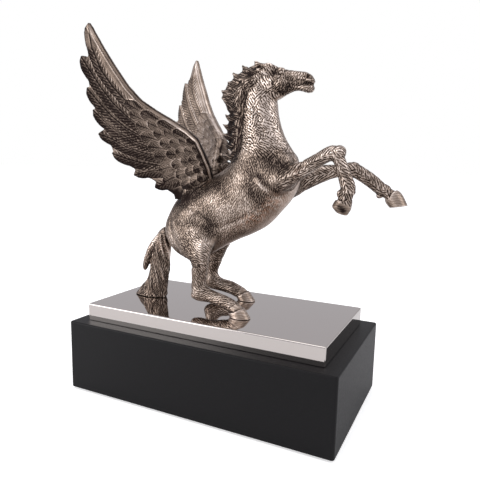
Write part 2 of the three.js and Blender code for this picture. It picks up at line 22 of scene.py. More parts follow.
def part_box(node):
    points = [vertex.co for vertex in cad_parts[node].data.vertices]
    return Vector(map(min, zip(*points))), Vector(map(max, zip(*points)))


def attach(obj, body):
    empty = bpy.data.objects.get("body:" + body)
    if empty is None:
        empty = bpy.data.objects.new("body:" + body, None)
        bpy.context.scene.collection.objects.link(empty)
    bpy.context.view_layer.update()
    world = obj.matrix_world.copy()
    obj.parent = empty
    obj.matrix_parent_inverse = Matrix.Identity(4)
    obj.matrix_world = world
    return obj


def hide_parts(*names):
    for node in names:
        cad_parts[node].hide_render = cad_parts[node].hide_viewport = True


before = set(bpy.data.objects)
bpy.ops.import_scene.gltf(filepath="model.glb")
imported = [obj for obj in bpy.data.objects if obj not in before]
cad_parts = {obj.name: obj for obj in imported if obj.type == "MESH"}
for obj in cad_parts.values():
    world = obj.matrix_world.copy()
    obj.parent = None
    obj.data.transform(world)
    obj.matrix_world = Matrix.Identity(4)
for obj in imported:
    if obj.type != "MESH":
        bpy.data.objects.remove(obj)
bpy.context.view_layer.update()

LOG = logging.getLogger("trophy")
MM = 0.001
BODY = "root"
MID = -1.0                         # side of the horse's middle plane, mm
TRAY_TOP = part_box("mirror_tray")[1].z / MM

Point = tuple[float, float, float]
# a section of the horse: x and z of its top, x and z of its underside, side of its middle, half its width
Station = tuple[float, float, float, float, float, float]
Stations = tuple[Station, ...]


# ---------------------------------------------------------------------------------------------------------
# small helpers
# ---------------------------------------------------------------------------------------------------------
def linear(colour: str) -> tuple[float, float, float, float]:
    """Turn an sRGB hex colour into linear RGBA.

    Args:
        colour: six hex digits with a leading hash.

    Returns:
        Linear red, green, blue and an alpha of 1.
    """
    parts = [int(colour[k:k + 2], 16) / 255 for k in (1, 3, 5)]
    return tuple(p / 12.92 if p <= 0.04045 else ((p + 0.055) / 1.055) ** 2.4 for p in parts) + (1.0,)


def add_node(tree: bpy.types.NodeTree, kind: str, inputs: dict | None = None, **settings) -> bpy.types.Node:
    """Add a shader node with its settings, values and links.

    Args:
        tree: the node tree to add to.
        kind: the node's bl_idname.
        inputs: socket name or number to a value, or to an output socket to link from.
        settings: attributes of the node itself.

    Returns:
        The new node.
    """
    node = tree.nodes.new(kind)
    for name, value in settings.items():
        setattr(node, name, value)
    for name, value in (inputs or {}).items():
        if isinstance(value, bpy.types.NodeSocket):
            tree.links.new(value, node.inputs[name])
        else:
            node.inputs[name].default_value = value
    return node


def smoothstep(low: float, high: float, value: np.ndarray) -> np.ndarray:
    """Ease from 0 at low to 1 at high."""
    t = np.clip((value - low) / (high - low), 0, 1)
    return t * t * (3 - 2 * t)


def bell(value: np.ndarray, width: float) -> np.ndarray:
    """Fall off from 1 at zero, in a bell of that width."""
    return np.exp(-0.5 * (value / width) ** 2)


def link(mesh: bpy.types.Mesh, name: str) -> bpy.types.Object:
    """Put a mesh into the scene as an object of that name."""
    obj = bpy.data.objects.new(name, mesh)
    bpy.context.scene.collection.objects.link(obj)
    return obj


def poured(bm: bmesh.types.BMesh, name: str) -> bpy.types.Mesh:
    """Turn an edited shape into a mesh, and free it."""
    mesh = bpy.data.meshes.new(name)
    bm.to_mesh(mesh)
    bm.free()
    return mesh


def start_finish(name: str) -> tuple[bpy.types.Material, bpy.types.NodeTree, bpy.types.Node,
                                     bpy.types.NodeSocket]:
    """Start a material.

    Args:
        name: what to call it.

    Returns:
        The material, its node tree, its shader and the object coordinates to hang patterns on.
    """
    material = bpy.data.materials.new(name)
    material.use_nodes = True
    tree = material.node_tree
    place = add_node(tree, "ShaderNodeTexCoord").outputs["Object"]
    return material, tree, tree.nodes["Principled BSDF"], place


def speckle(tree: bpy.types.NodeTree, place: bpy.types.NodeSocket, scale: float, detail: float,
            **inputs: float) -> bpy.types.NodeSocket:
    """Add a noise pattern with so many lumps to the metre."""
    return add_node(tree, "ShaderNodeTexNoise", {"Vector": place, "Scale": scale, "Detail": detail,
                                                 **inputs}).outputs["Fac"]


def reckon(tree: bpy.types.NodeTree, operation: str, first: object, second: object,
           **settings) -> bpy.types.NodeSocket:
    """Add a sum of two values or sockets."""
    return add_node(tree, "ShaderNodeMath", {0: first, 1: second}, operation=operation, **settings).outputs[0]


def mixed(tree: bpy.types.NodeTree, share: bpy.types.NodeSocket, first: object, second: object,
          **settings) -> bpy.types.NodeSocket:
    """Add a mix of two colours, the second coming in as the share grows."""
    return add_node(tree, "ShaderNodeMix", {"Factor": share, 6: first, 7: second}, data_type="RGBA",
                    **settings).outputs[2]


# ---------------------------------------------------------------------------------------------------------
# finishes
# ---------------------------------------------------------------------------------------------------------
@dataclass(frozen=True)
class AntiqueSilver:
    """Silver plate on cast zinc, blackened and rubbed back, so that hollows stay dark and ridges shine; the
    tones it reads also carry painted shade and painted highlights.
    """

    name: str = "antique_silver_plate"
    hollow: str = "#271f1d"
    middle: str = "#958477"
    ridge: str = "#ebdcd2"
    copper: str = "#dba680"
    # painted shade over the whole piece; below zero it is painted light
    painted_darkening: float = 0.0
    ridge_roughness: float = 0.30
    hollow_roughness: float = 0.5
    cloudiness: float = 0.55
    graininess: float = 0.22

    def build(self) -> bpy.types.Material:
        """Make the material from the relief, tarnish and copper attributes of the castings, which carry
        painted shade and painted highlights besides patina, tarnish and wear.

        Returns:
            The finished material.
        """
        material, tree, shader, place = start_finish(self.name)
        relief, tarnish_and_painted_shade, copper = (add_node(tree, "ShaderNodeAttribute", attribute_name=name).outputs["Fac"]
                                   for name in ("relief", "tarnish_and_painted_shade", "copper"))
        # clouds of tarnish some 9 mm across, as hand rubbing leaves them
        clouds = speckle(tree, place, 110.0, 4.0, Roughness=0.6)
        # grain of the cast skin, 0.6 mm
        grain = speckle(tree, place, 1500.0, 3.0, Roughness=0.7)
        shine = reckon(tree, "SUBTRACT", relief, tarnish_and_painted_shade)
        for pattern, strength in ((clouds, self.cloudiness), (grain, self.graininess)):
            shift = reckon(tree, "SUBTRACT", pattern, 0.5)
            shine = reckon(tree, "ADD", shine, reckon(tree, "MULTIPLY", shift, strength))
        # painted shade over the whole piece, or painted light when below zero
        shine = reckon(tree, "SUBTRACT", shine, self.painted_darkening, use_clamp=True)
        ramp = add_node(tree, "ShaderNodeValToRGB", {"Fac": shine})
        low, high = ramp.color_ramp.elements
        low.position, low.color = 0.08, linear(self.hollow)
        high.position, high.color = 0.92, linear(self.ridge)
        ramp.color_ramp.elements.new(0.5).color = linear(self.middle)
        warm = mixed(tree, copper, ramp.outputs["Color"], linear(self.copper), blend_type="MULTIPLY")
        rough = add_node(tree, "ShaderNodeMapRange", {"Value": shine, "To Min": self.hollow_roughness,
                                                      "To Max": self.ridge_roughness})
        bump = add_node(tree, "ShaderNodeBump", {"Height": grain, "Strength": 0.35, "Distance": 0.12 * MM})
        tree.links.new(warm, shader.inputs["Base Color"])
        tree.links.new(rough.outputs[0], shader.inputs["Roughness"])
        tree.links.new(bump.outputs[0], shader.inputs["Normal"])
        shader.inputs["Metallic"].default_value = 1.0
        return material


@dataclass(frozen=True)
class BrightNickel:
    """Bright nickel plate on folded steel sheet: a near mirror with the faint drag of the polishing wheel."""

    name: str = "bright_nickel_plate"
    colour: str = "#c6bfbb"
    roughness: float = 0.035

    def build(self) -> bpy.types.Material:
        """Make the mirror plate."""
        material, tree, shader, place = start_finish(self.name)
        # polishing drag: marks 0.5 mm across and some 15 mm long, along the tray; smears some 15 mm across
        stretch = add_node(tree, "ShaderNodeMapping", {"Vector": place, "Scale": (70.0, 2000.0, 2000.0)})
        both = reckon(tree, "MULTIPLY", speckle(tree, stretch.outputs[0], 1.0, 3.0),
                      speckle(tree, place, 60.0, 3.0))
        rough = add_node(tree, "ShaderNodeMapRange", {"Value": both, "From Min": 0.1, "From Max": 0.45,
                                                      "To Min": self.roughness * 0.7,
                                                      "To Max": self.roughness * 1.6})
        tree.links.new(rough.outputs[0], shader.inputs["Roughness"])
        shader.inputs["Base Color"].default_value = linear(self.colour)
        shader.inputs["Metallic"].default_value = 1.0
        return material


@dataclass(frozen=True)
class BlackLacquer:
    """Satin black lacquer sprayed on board: even and dark, with a soft sheen and the spray's fine peel."""

    name: str = "satin_black_lacquer"
    colour: str = "#0e0d0f"
    speck: str = "#1c1b1c"
    roughness: float = 0.44
    gloss: float = 0.19                 # how strongly it mirrors when seen square on

    def build(self) -> bpy.types.Material:
        """Make the lacquer."""
        material, tree, shader, place = start_finish(self.name)
        # orange peel of the spray, 1.2 mm, and dust specks, 0.4 mm
        peel = speckle(tree, place, 800.0, 2.0)
        specks = speckle(tree, place, 2500.0, 2.0)
        dust = add_node(tree, "ShaderNodeMapRange", {"Value": specks, "From Min": 0.62, "From Max": 0.75})
        colour = mixed(tree, dust.outputs[0], linear(self.colour), linear(self.speck))
        rough = add_node(tree, "ShaderNodeMapRange", {"Value": peel, "To Min": self.roughness - 0.06,
                                                      "To Max": self.roughness + 0.08})
        bump = add_node(tree, "ShaderNodeBump", {"Height": peel, "Strength": 0.12, "Distance": 0.2 * MM})
        tree.links.new(colour, shader.inputs["Base Color"])
        tree.links.new(rough.outputs[0], shader.inputs["Roughness"])
        tree.links.new(bump.outputs[0], shader.inputs["Normal"])
        shader.inputs["Specular IOR Level"].default_value = self.gloss
        return material


@dataclass(frozen=True)
class Grained:
    """A finely grained stuff: raw fibre board, felt, zinc plate or paper, told apart by its numbers."""

    name: str
    light: str
    dark: str
    grain_mm: float
    roughness: float
    metallic: float = 0.0
    bump: float = 0.3

    def build(self) -> bpy.types.Material:
        """Make the grained material."""
        material, tree, shader, place = start_finish(self.name)
        grain = speckle(tree, place, 1000.0 / self.grain_mm, 5.0)
        colour = mixed(tree, grain, linear(self.dark), linear(self.light))
        bump = add_node(tree, "ShaderNodeBump", {"Height": grain, "Strength": self.bump,
                                                 "Distance": self.grain_mm * MM})
        tree.links.new(colour, shader.inputs["Base Color"])
        tree.links.new(bump.outputs[0], shader.inputs["Normal"])
        shader.inputs["Roughness"].default_value = self.roughness
        shader.inputs["Metallic"].default_value = self.metallic
        return material


# ---------------------------------------------------------------------------------------------------------
# clay
# ---------------------------------------------------------------------------------------------------------
def middles(stations: Iterable[Station]) -> tuple[Point, ...]:
    """Give the middle of each section: x, side and z."""
    return tuple(((a + c) / 2, side, (b + d) / 2) for a, b, c, d, side, _ in stations)


def mirrored(stations: Stations) -> list[Station]:
    """Copy sections to the other side of the horse's middle plane."""
    return [(a, b, c, d, 2 * MID - side, half) for a, b, c, d, side, half in stations]


def eased(rows: Sequence[Sequence[float]], steps: int) -> np.ndarray:
    """Draw a smooth curve through rows of numbers.

    Args:
        rows: at least two rows of the same length.
        steps: how many rows to make of each gap.

    Returns:
        The rows and the ones between them.
    """
    points = np.array(rows, float)
    padded = np.vstack([2 * points[0] - points[1], points, 2 * points[-1] - points[-2]])
    out = []
    for k in range(len(points) - 1):
        p0, p1, p2, p3 = padded[k:k + 4]
        for step in range(steps):
            t = step / steps
            out.append(0.5 * (2 * p1 + (p2 - p0) * t + (2 * p0 - 5 * p1 + 4 * p2 - p3) * t * t
                              + (3 * p1 - p0 - 3 * p2 + p3) * t ** 3))
    out.append(points[-1])
    return np.array(out)


@dataclass
class Clay:
    """A lump of modelling clay, built up from lofts and balls and then melted into one skin."""

    bm: bmesh.types.BMesh = field(default_factory=bmesh.new)

    def loft(self, sections: Sequence[tuple[Vector, Vector, Vector]], sides: int = 24) -> None:
        """Lay an oval-sectioned roll of clay.

        Args:
            sections: for each section its middle and its two half axes.
            sides: corners of each oval.
        """
        rings = []
        for middle, up, across in sections:
            place = Matrix((up, across, up.cross(across))).transposed().to_4x4()
            place.translation = middle
            made = bmesh.ops.create_circle(self.bm, cap_ends=False, segments=sides, radius=1.0, matrix=place)
            rings.append((made["verts"], {edge for vert in made["verts"] for edge in vert.link_edges}))
        for (_, near), (_, far) in zip(rings[:-1], rings[1:]):
            bmesh.ops.bridge_loops(self.bm, edges=list(near) + list(far))
        for verts, _ in (rings[0], rings[-1]):
            bmesh.ops.contextual_create(self.bm, geom=verts)

    def limb(self, stations: Sequence[Station], sides: int = 24, steps: int = 4) -> None:
        """Lay a roll of clay over sections given in the side view."""
        rows = eased(stations, steps)
        sections = []
        for top_x, top_z, under_x, under_z, side, half in rows:
            middle = Vector(((top_x + under_x) / 2, side, (top_z + under_z) / 2))
            up = Vector(((top_x - under_x) / 2, 0, (top_z - under_z) / 2))
            sections.append((middle, up, Vector((0, max(half, 0.2), 0))))
        self.loft(sections, sides)

    def strand(self, points: Sequence[Sequence[float]], sides: int = 10, steps: int = 4,
               flat: float = 1.0) -> None:
        """Lay a round strand that tapers as its points say.

        Args:
            points: x, side, z and radius of each point.
            sides: corners of its section.
            steps: how finely the curve is drawn.
            flat: its thickness across the horse, as a share of its height.
        """
        rows = eased(points, steps)
        sections = []
        for k, (x, side, z, radius) in enumerate(rows):
            before = rows[max(k - 1, 0)][:3]
            after = rows[min(k + 1, len(rows) - 1)][:3]
            along = Vector(after - before).normalized()
            across = along.cross(Vector((0, 1, 0))).normalized()
            sideways = along.cross(across).normalized()
            thick = max(radius, 0.15)
            sections.append((Vector((x, side, z)), across * thick, sideways * thick * flat))
        self.loft(sections, sides)

    def ball(self, middle: Sequence[float], radii: Sequence[float], tilt: float = 0.0) -> None:
        """Press on an egg of clay.

        Args:
            middle: where, x, side and z.
            radii: its half sizes along x, across and along z.
            tilt: degrees it is turned, nose up, in the side view.
        """
        place = Matrix.Translation(middle) @ Matrix.Rotation(-math.radians(tilt), 4, "Y")
        place = place @ Matrix.Diagonal((*radii, 1.0))
        bmesh.ops.create_icosphere(self.bm, subdivisions=3, radius=1.0, matrix=place)

    def pair(self, middle: Sequence[float], radii: Sequence[float], tilt: float = 0.0) -> None:
        """Press on the same egg on both sides of the horse."""
        x, side, z = middle
        self.ball(middle, radii, tilt)
        self.ball((x, 2 * MID - side, z), radii, tilt)

    def take(self, mesh: bpy.types.Mesh) -> None:
        """Add a finished mesh to the lump, and drop it from the file."""
        self.bm.from_mesh(mesh)
        bpy.data.meshes.remove(mesh)

    def melt(self, voxel: float) -> bpy.types.Mesh:
        """Melt the lump into one closed skin.

        Args:
            voxel: the grain of the skin, mm.

        Returns:
            The skin as a new mesh.
        """
        bmesh.ops.recalc_face_normals(self.bm, faces=self.bm.faces[:])
        rough = poured(self.bm, "clay")
        lump = link(rough, "clay")
        wax = lump.modifiers.new("wax", "REMESH")
        wax.mode = "VOXEL"
        wax.voxel_size = voxel
        skin = shaped(lump)
        bpy.data.objects.remove(lump)
        bpy.data.meshes.remove(rough)
        return skin


def shaped(piece: bpy.types.Object) -> bpy.types.Mesh:
    """Make a new mesh of a piece as its modifiers leave it."""
    return bpy.data.meshes.new_from_object(piece.evaluated_get(bpy.context.evaluated_depsgraph_get()))


def mesh_arrays(mesh: bpy.types.Mesh) -> tuple[np.ndarray, np.ndarray]:
    """Read a mesh's points and its edges as arrays."""
    points = np.empty(len(mesh.vertices) * 3)
    mesh.vertices.foreach_get("co", points)
    edges = np.empty(len(mesh.edges) * 2, int)
    mesh.edges.foreach_get("vertices", edges)
    return points.reshape(-1, 3), edges.reshape(-1, 2)


def normals_of(mesh: bpy.types.Mesh) -> np.ndarray:
    """Read a mesh's point normals."""
    normals = np.empty(len(mesh.vertices) * 3)
    mesh.vertex_normals.foreach_get("vector", normals)
    return normals.reshape(-1, 3)


def store(mesh: bpy.types.Mesh, points: np.ndarray) -> None:
    """Write points back to a mesh."""
    mesh.vertices.foreach_set("co", points.ravel())
    mesh.update()


def paint(mesh: bpy.types.Mesh, relief: np.ndarray, tarnish_and_painted_shade: np.ndarray, copper: np.ndarray) -> None:
    """Write down the tones that the silver finish reads, point by point."""
    for name, values in (("relief", relief), ("tarnish_and_painted_shade", tarnish_and_painted_shade), ("copper", copper)):
        mesh.attributes.new(name, "FLOAT", "POINT").data.foreach_set("value", values.astype(np.float32))


def to_metres() -> Matrix:
    """Give the matrix from the horse's millimetres above the tray to the frame's metres."""
    return Matrix.Translation((0, 0, TRAY_TOP * MM)) @ Matrix.Scale(MM, 4)


def relax(points: np.ndarray, edges: np.ndarray, rounds: int, weight: float) -> np.ndarray:
    """Let every point drift towards the middle of its neighbours.

    Args:
        points: the points.
        edges: pairs of joined points.
        rounds: how often to do it.
        weight: how far each goes, 0 to 1.

    Returns:
        The relaxed points.
    """
    count = np.bincount(edges.ravel(), minlength=len(points))[:, None]
    start, end = edges[:, 0], edges[:, 1]
    for _ in range(rounds):
        total = np.empty_like(points)
        for axis in range(3):
            total[:, axis] = (np.bincount(start, points[end, axis], len(points))
                              + np.bincount(end, points[start, axis], len(points)))
        points = points + weight * (total / count - points)
    return points


def spread(values: np.ndarray, edges: np.ndarray, rounds: int) -> np.ndarray:
    """Blur a value over the skin."""
    count = np.bincount(edges.ravel(), minlength=len(values))
    for _ in range(rounds):
        total = (np.bincount(edges[:, 0], values[edges[:, 1]], len(values))
                 + np.bincount(edges[:, 1], values[edges[:, 0]], len(values)))
        values = 0.5 * values + 0.5 * total / count
    return values


# ---------------------------------------------------------------------------------------------------------
# the horse
# ---------------------------------------------------------------------------------------------------------
class Part(Enum):
    """Parts of the horse that are chased in different ways."""

    TRUNK = "trunk"
    NECK = "neck"
    HEAD = "head"
    MANE = "mane"
    FORELEG = "foreleg"
    HIND_LEG = "hind leg"
    TAIL = "tail"
    HOOF = "hoof"


@dataclass(frozen=True)
class Bone:
    """A middle line that says which part a point belongs to and which way its hair lies."""

    part: Part
    points: tuple[Point, ...]
    reach: float


@dataclass(frozen=True)
class Chasing:
    """How the hair of one part is cut.

    Attributes:
        pitch: from one stroke to the next beside it, mm.
        length: half length of a stroke, mm.
        width: half width, mm.
        depth: how deep it is cut, mm.
        angles: degrees from the part's middle line, one of which each patch takes.
        patch: size of a patch of like strokes, mm.
        wander: spread of the angle, degrees.
        herringbone: whether strokes below the middle line lean the other way, and less.
    """

    pitch: float
    length: float
    width: float
    depth: float
    angles: tuple[float, ...]
    patch: float = 12.0
    wander: float = 5.0
    herringbone: bool = False


@dataclass
class Horse:
    """The cast horse without its wings."""

    mass_voxel: float = 0.9             # grain of the skin over the big masses, mm
    soft_voxel: float = 0.55            # over the head and mane
    voxel: float = 0.42                 # over everything
    seed: int = 11
    trunk: Stations = (
        (-47.5, 53, -44, 43, -1, 5), (-47, 58.5, -37.5, 35, -1, 11.5), (-43, 67, -28, 31, -1, 15),
        (-38, 75, -14, 35, -1, 15.5), (-28, 82.5, -2, 42, -1, 15), (-17, 88, 9, 48, -1, 15.5),
        (-6, 93, 20, 53, -1, 16.5), (0, 97, 31, 59.5, -1, 16.5), (3, 100.5, 40, 69, -1, 16.5),
        (5, 104, 48, 79, -1, 15.5), (6, 109, 53.5, 93, -1, 13.5), (8, 116, 50, 103, -1, 11.5),
        (8, 124, 42.5, 114, -1, 10.2), (8, 132, 38.6, 122, -1, 9.4), (9, 141, 36, 131, -1, 8.6),
        (13, 150, 35, 138.5, -1, 7.6), (19, 156, 33, 143, -1, 6.2))
    right_thigh: Stations = (
        (-20, 70, -44, 58, -7, 7), (-8, 61, -41, 49, -9.5, 8), (-2.6, 51.5, -35.2, 43, -11.3, 8),
        (-4, 43.5, -27, 35, -14, 7), (-5.0, 38, -19.4, 33.2, -16.3, 5.8),
        (-4.9, 31.3, -17.6, 28.5, -17.5, 5))
    left_thigh: Stations = (
        (-20, 70, -44, 58, 5, 7), (-9, 60, -40, 48, 7.5, 8), (-3, 47, -31, 39.5, 11, 7.6),
        (-7.5, 37.4, -24, 34, 13.6, 6.2), (-12.2, 28.6, -23.7, 26.6, 15, 5.2))
    right_hind: Stations = (
        (-4.9, 31.3, -17.6, 28.5, -17.5, 5), (-6.3, 24.2, -17.4, 21.5, -17.5, 4.4),
        (-7.2, 18.8, -17.5, 14.5, -17.5, 4.2), (-6.0, 17.3, -16.1, 7.6, -17.5, 4.6),
        (-3.5, 15.6, -11.3, 5.8, -17.5, 4.2), (1.5, 14.3, -3.1, 6, -18, 3.6), (9.6, 12.9, 6, 4.2, -19, 3.5),
        (15.5, 11.1, 11.6, 3.1, -19.5, 4), (19.8, 8.6, 13.8, 2.2, -20, 3.6),
        (24.2, 5.8, 14, 1.6, -20.6, 4.2))
    left_hind: Stations = (
        (-12.2, 28.6, -23.7, 26.6, 15, 5.2), (-16, 20.4, -25.1, 18.2, 16, 4.3),
        (-15, 17, -26.7, 9.9, 16, 4.6), (-12.2, 14.8, -23.3, 6.2, 17, 4.4),
        (-4.8, 13.4, -13.4, 4.6, 18, 3.7), (0.5, 11.3, -5.6, 3.2, 18.5, 3.9),
        (4.6, 9.2, -2.6, 2.0, 19, 3.8), (8.8, 6.6, -0.2, 1.4, 19, 4.2))
    right_shoulder: Stations = (
        (25, 104, 20, 84, -8.5, 6), (38, 100, 32, 78, -9.5, 8.2), (49, 99.5, 46, 82.6, -11, 7.2),
        (58.2, 102.5, 56.5, 89.8, -12.5, 5.6))
    left_shoulder: Stations = (
        (25, 102, 20, 82, 6.5, 6), (38, 97, 32, 75, 7, 8.2), (48, 96.4, 43.5, 77, 8, 7.4),
        (57.3, 99.1, 52.8, 83, 9, 6))
    right_fore: Stations = (
        (58.2, 102.5, 56.5, 89.8, -12.5, 5.6), (65.8, 106.5, 65.1, 96, -13, 4.8),
        (72.6, 110.4, 72.2, 100.4, -13, 4.5), (77.1, 111, 75.5, 101.7, -13, 4.8),
        (81, 108, 76.6, 100.6, -13, 4.6), (83.3, 103.5, 78, 98, -13, 3.9),
        (85.6, 98.7, 79.1, 93.9, -13, 3.5), (87.9, 93.6, 80.2, 89.9, -13, 3.5),
        (89.8, 89.1, 81.3, 85.9, -13, 3.9), (90.3, 85.3, 82, 83.3, -13, 4),
        (89.2, 81.9, 80.7, 81.5, -13, 3.5), (88.6, 78.9, 79.5, 79.4, -13, 3.9))
    left_fore: Stations = (
        (57.3, 99.1, 52.8, 83, 9, 6), (65.8, 100.2, 63.4, 88.4, 10, 5.2), (72, 100.3, 72.4, 91.8, 10, 4.7),
        (80.8, 101.9, 80, 92, 10, 4.8), (85.2, 101.1, 82.9, 92.1, 10, 4.5),
        (90.2, 98.4, 87.4, 89.8, 10, 3.9), (96.7, 94.3, 93.2, 86, 10, 3.6),
        (102.7, 89.3, 97.8, 82.7, 10, 3.9), (106.3, 86.5, 101.3, 81.4, 10, 3.5),
        (109, 85.1, 102.8, 80, 10, 3.9))
    hooves: tuple[Stations, ...] = (           # right hind, left hind, right fore, left fore
        ((23.6, 6.9, 12.9, 2.3, -20.6, 4.7), (26.6, 3.5, 13.6, 1.0, -20.8, 5.0),
         (29.0, 0.2, 14.2, 0.0, -21, 5.4)),
        ((8.2, 7.6, -1.2, 2.2, 19, 4.6), (11.2, 4.0, -0.4, 1.0, 19, 4.9), (14.2, 0.2, 0.4, 0.0, 19, 5.3)),
        ((89.1, 79.4, 78.8, 79.6, -13, 4.4), (88.6, 76.0, 77.4, 77.0, -13, 4.8),
         (88.0, 73.6, 77.0, 75.0, -13, 4.9), (86.1, 70.3, 79.6, 72.2, -13, 4.2)),
        ((109.9, 86.0, 102.8, 79.2, 10, 4.4), (113.3, 82.9, 104.0, 77.2, 10, 4.8),
         (116.8, 76.4, 106.3, 74.6, 10, 5.0)))
    dock: Stations = (
        (-43, 57, -39, 48, -1, 3.6), (-51.8, 53, -46.9, 44.8, -1, 4))
    tail: Stations = (
        (-51.8, 53, -46.9, 44.8, -1, 4), (-56.6, 49, -47.8, 42.6, -1, 4.6), (-60, 41, -46.8, 36.5, -2, 5.2),
        (-61.5, 32.5, -46.3, 28, -3, 5.6), (-62.6, 22.5, -47.2, 20.5, -3, 5.6),
        (-65, 13, -47.4, 12.2, -4, 5.6), (-71, 5.4, -48, 5, -4, 5.8), (-76.2, 0.4, -49.0, 0.2, -4, 6.4))
    tail_lock: tuple[tuple[float, ...], ...] = (
        (-53, -2.5, 48, 2.4), (-59.5, -4.5, 38, 3.4), (-64.5, -5, 28, 3), (-67, -4.6, 21.5, 2.1),
        (-67.6, -4.2, 18.6, 0.7))
    skull: Stations = (
        (18, 156, 27, 139.5, -1, 5.4), (25, 159, 33, 139.2, -1, 6.3), (30, 159.7, 37.5, 141.5, -1, 6.5),
        (36, 159.8, 41.8, 143.6, -1, 6.1), (39.8, 158.4, 44.8, 145.2, -1, 5.3),
        (43.4, 157.7, 47.6, 146.2, -1, 4.6), (49.3, 156.7, 51, 147.4, -1, 4.0),
        (53.9, 155.8, 54, 148.4, -1, 4.1), (56.9, 153.8, 56.7, 148.6, -1, 3.8),
        (59.0, 151.2, 58.3, 149.2, -1, 2.6))
    jaw: Stations = (
        (34, 148, 35.4, 139.6, -1, 4.6), (41.5, 148.6, 41.6, 143, -1, 4.0),
        (47.3, 149.4, 47.4, 144.8, -1, 3.4), (51.5, 149.3, 51.8, 144.1, -1, 3.6),
        (54.6, 148.6, 54.8, 143.3, -1, 3.9), (57.2, 147.9, 57.3, 143.2, -1, 3.4),
        (58.7, 146.4, 58.7, 144.4, -1, 1.9))
    ear: Stations = (
        (34, 158.2, 33, 153.2, -5.4, 1.6), (30, 160.2, 28.6, 153.6, -6.2, 2.2),
        (26, 162.0, 24.3, 155.4, -6.4, 2.0), (22.4, 163.8, 21.2, 159.0, -6.0, 1.4),
        (19.9, 164.6, 19.6, 163.2, -5.6, 0.7))
    mane_core: Stations = (
        (22, 163.6, 28, 154, -1, 3.6), (12.6, 160.6, 23, 151, -1, 4.4), (3.8, 155.6, 18, 147, -1, 4.6),
        (-2.6, 148.5, 15.5, 143.5, -1, 4.6), (-1.8, 142.4, 14.5, 139, -1, 4.6),
        (1.2, 134, 14.6, 133, -1, 4.4), (0.4, 127.2, 14.6, 127, -1, 4.2), (-0.8, 121.3, 14, 121, -1, 4.2),
        (0.6, 115.2, 13, 115, -1, 4.2), (2.2, 109.8, 12, 109.6, -1, 4.2), (5.6, 103, 11, 104, -1, 4))
    # the collars that the wings stand on, in the wing's plane: back, up, out, half width, half thickness
    wing_collar: tuple[tuple[float, ...], ...] = (
        (18, -34, 1.6, 13, 4.2), (17.5, -26, 2.8, 12, 3.8), (17, -19, 3.2, 10.5, 2.8),
        (16.5, -14, 3.2, 9, 1.8))
    # mane locks: root, middle and tip in the side view, with the root's thickness
    locks: tuple[tuple[float, ...], ...] = (
        (27, 157, 18, 157, 9.4, 162.2, 2.3), (23, 153, 12, 152.6, 2.6, 158.2, 2.4),
        (20, 150, 8, 147.5, -1, 152.5, 2.3), (17.6, 147.6, 6, 143.6, -5.6, 147.2, 2.5),
        (15.8, 145.5, 5.5, 138.8, -5.4, 143.2, 2.4), (14.6, 142, 6, 133.5, -2.2, 138.6, 2.3),
        (15.2, 138, 6, 128.6, -2.8, 132, 2.3), (15.6, 133, 6, 122.6, -4.4, 125.6, 2.2),
        (15.2, 127.4, 5, 116.4, -4.6, 119.8, 2.2), (14.4, 121.4, 5, 110.6, -2.6, 113.4, 2.1),
        (13.4, 115.2, 5, 103.8, -5.0, 105.6, 2.2), (12.4, 109, 8, 100.4, 3.6, 101, 2.0))

    def bones(self) -> list[Bone]:
        """Draw the middle lines of every part."""
        runs = [(Part.TRUNK, self.trunk[:10], 17), (Part.NECK, self.trunk[9:], 12),
                (Part.HEAD, self.skull[1:], 7.5), (Part.TAIL, self.tail, 7),
                (Part.HIND_LEG, self.right_thigh[2:5], 8.5), (Part.HIND_LEG, self.left_thigh[1:4], 8.5),
                (Part.HIND_LEG, self.right_thigh[4:] + self.right_hind, 5.5),
                (Part.HIND_LEG, self.left_thigh[3:] + self.left_hind, 5.5),
                (Part.FORELEG, self.right_shoulder[2:] + self.right_fore, 6),
                (Part.FORELEG, self.left_shoulder[2:] + self.left_fore, 6)]
        runs += [(Part.HOOF, hoof, 5.8) for hoof in self.hooves]
        bones = [Bone(part, middles(stations), reach) for part, stations, reach in runs]
        for k, (root_x, root_z, mid_x, mid_z, tip_x, tip_z, _) in enumerate(self.locks):
            fall = 8 if k >= 5 else 1                          # lower down the hair hangs along the crest
            for side in (MID - 3.6, MID + 3.6):
                bones.append(Bone(Part.MANE, ((root_x - 4 + fall / 3, side, root_z + fall),
                                              (mid_x + fall / 2, side, mid_z),
                                              (tip_x + fall / 3, side, tip_z)), 4.6))
        return bones

    def coronets(self) -> tuple[Mark, ...]:
        """List the grooves round the tops of the hooves."""
        marks = []
        for (top_x, top_z, under_x, under_z, side, half), *_ in self.hooves:
            side = MID - abs(side - MID)
            x, z = (top_x + under_x) / 2, (top_z + under_z) / 2
            line = ((top_x, side, top_z), (x, side - half, z), (under_x, side, under_z),
                    (x, side + half, z), (top_x, side, top_z))
            marks.append(Mark(line, 0.55, 0.55))
        return tuple(marks)

    def masses(self) -> bpy.types.Mesh:
        """Build the big masses and melt them, so that they flow into one another."""
        clay = Clay()
        clay.limb(self.trunk, 32)
        for stations in (self.right_thigh, self.left_thigh, self.right_shoulder, self.left_shoulder,
                         self.dock):
            clay.limb(stations, 20)
        clay.pair((-23.5, -9, 60), (15.5, 8.5, 13.5), 35)    # haunch
        clay.pair((-9.5, -15, 44), (5.5, 5, 6.5), 0)         # stifle
        clay.pair((33, -9.4, 88), (8, 8.4, 13), -28)         # shoulder
        clay.pair((41, -7, 100), (8, 7, 9), 0)               # point of the shoulder
        clay.pair((14, -7.5, 76), (15, 10, 14), 40)          # ribs
        clay.pair((45, -5.5, 88), (6, 6, 8), 0)              # breast
        for side in (-1, 1):
            plane = WingPlane(side)
            clay.loft([plane.section(row) for row in self.wing_collar], 20)
        skin = clay.melt(self.mass_voxel)
        points, edges = mesh_arrays(skin)
        store(skin, relax(points, edges, 9, 0.6))
        return skin

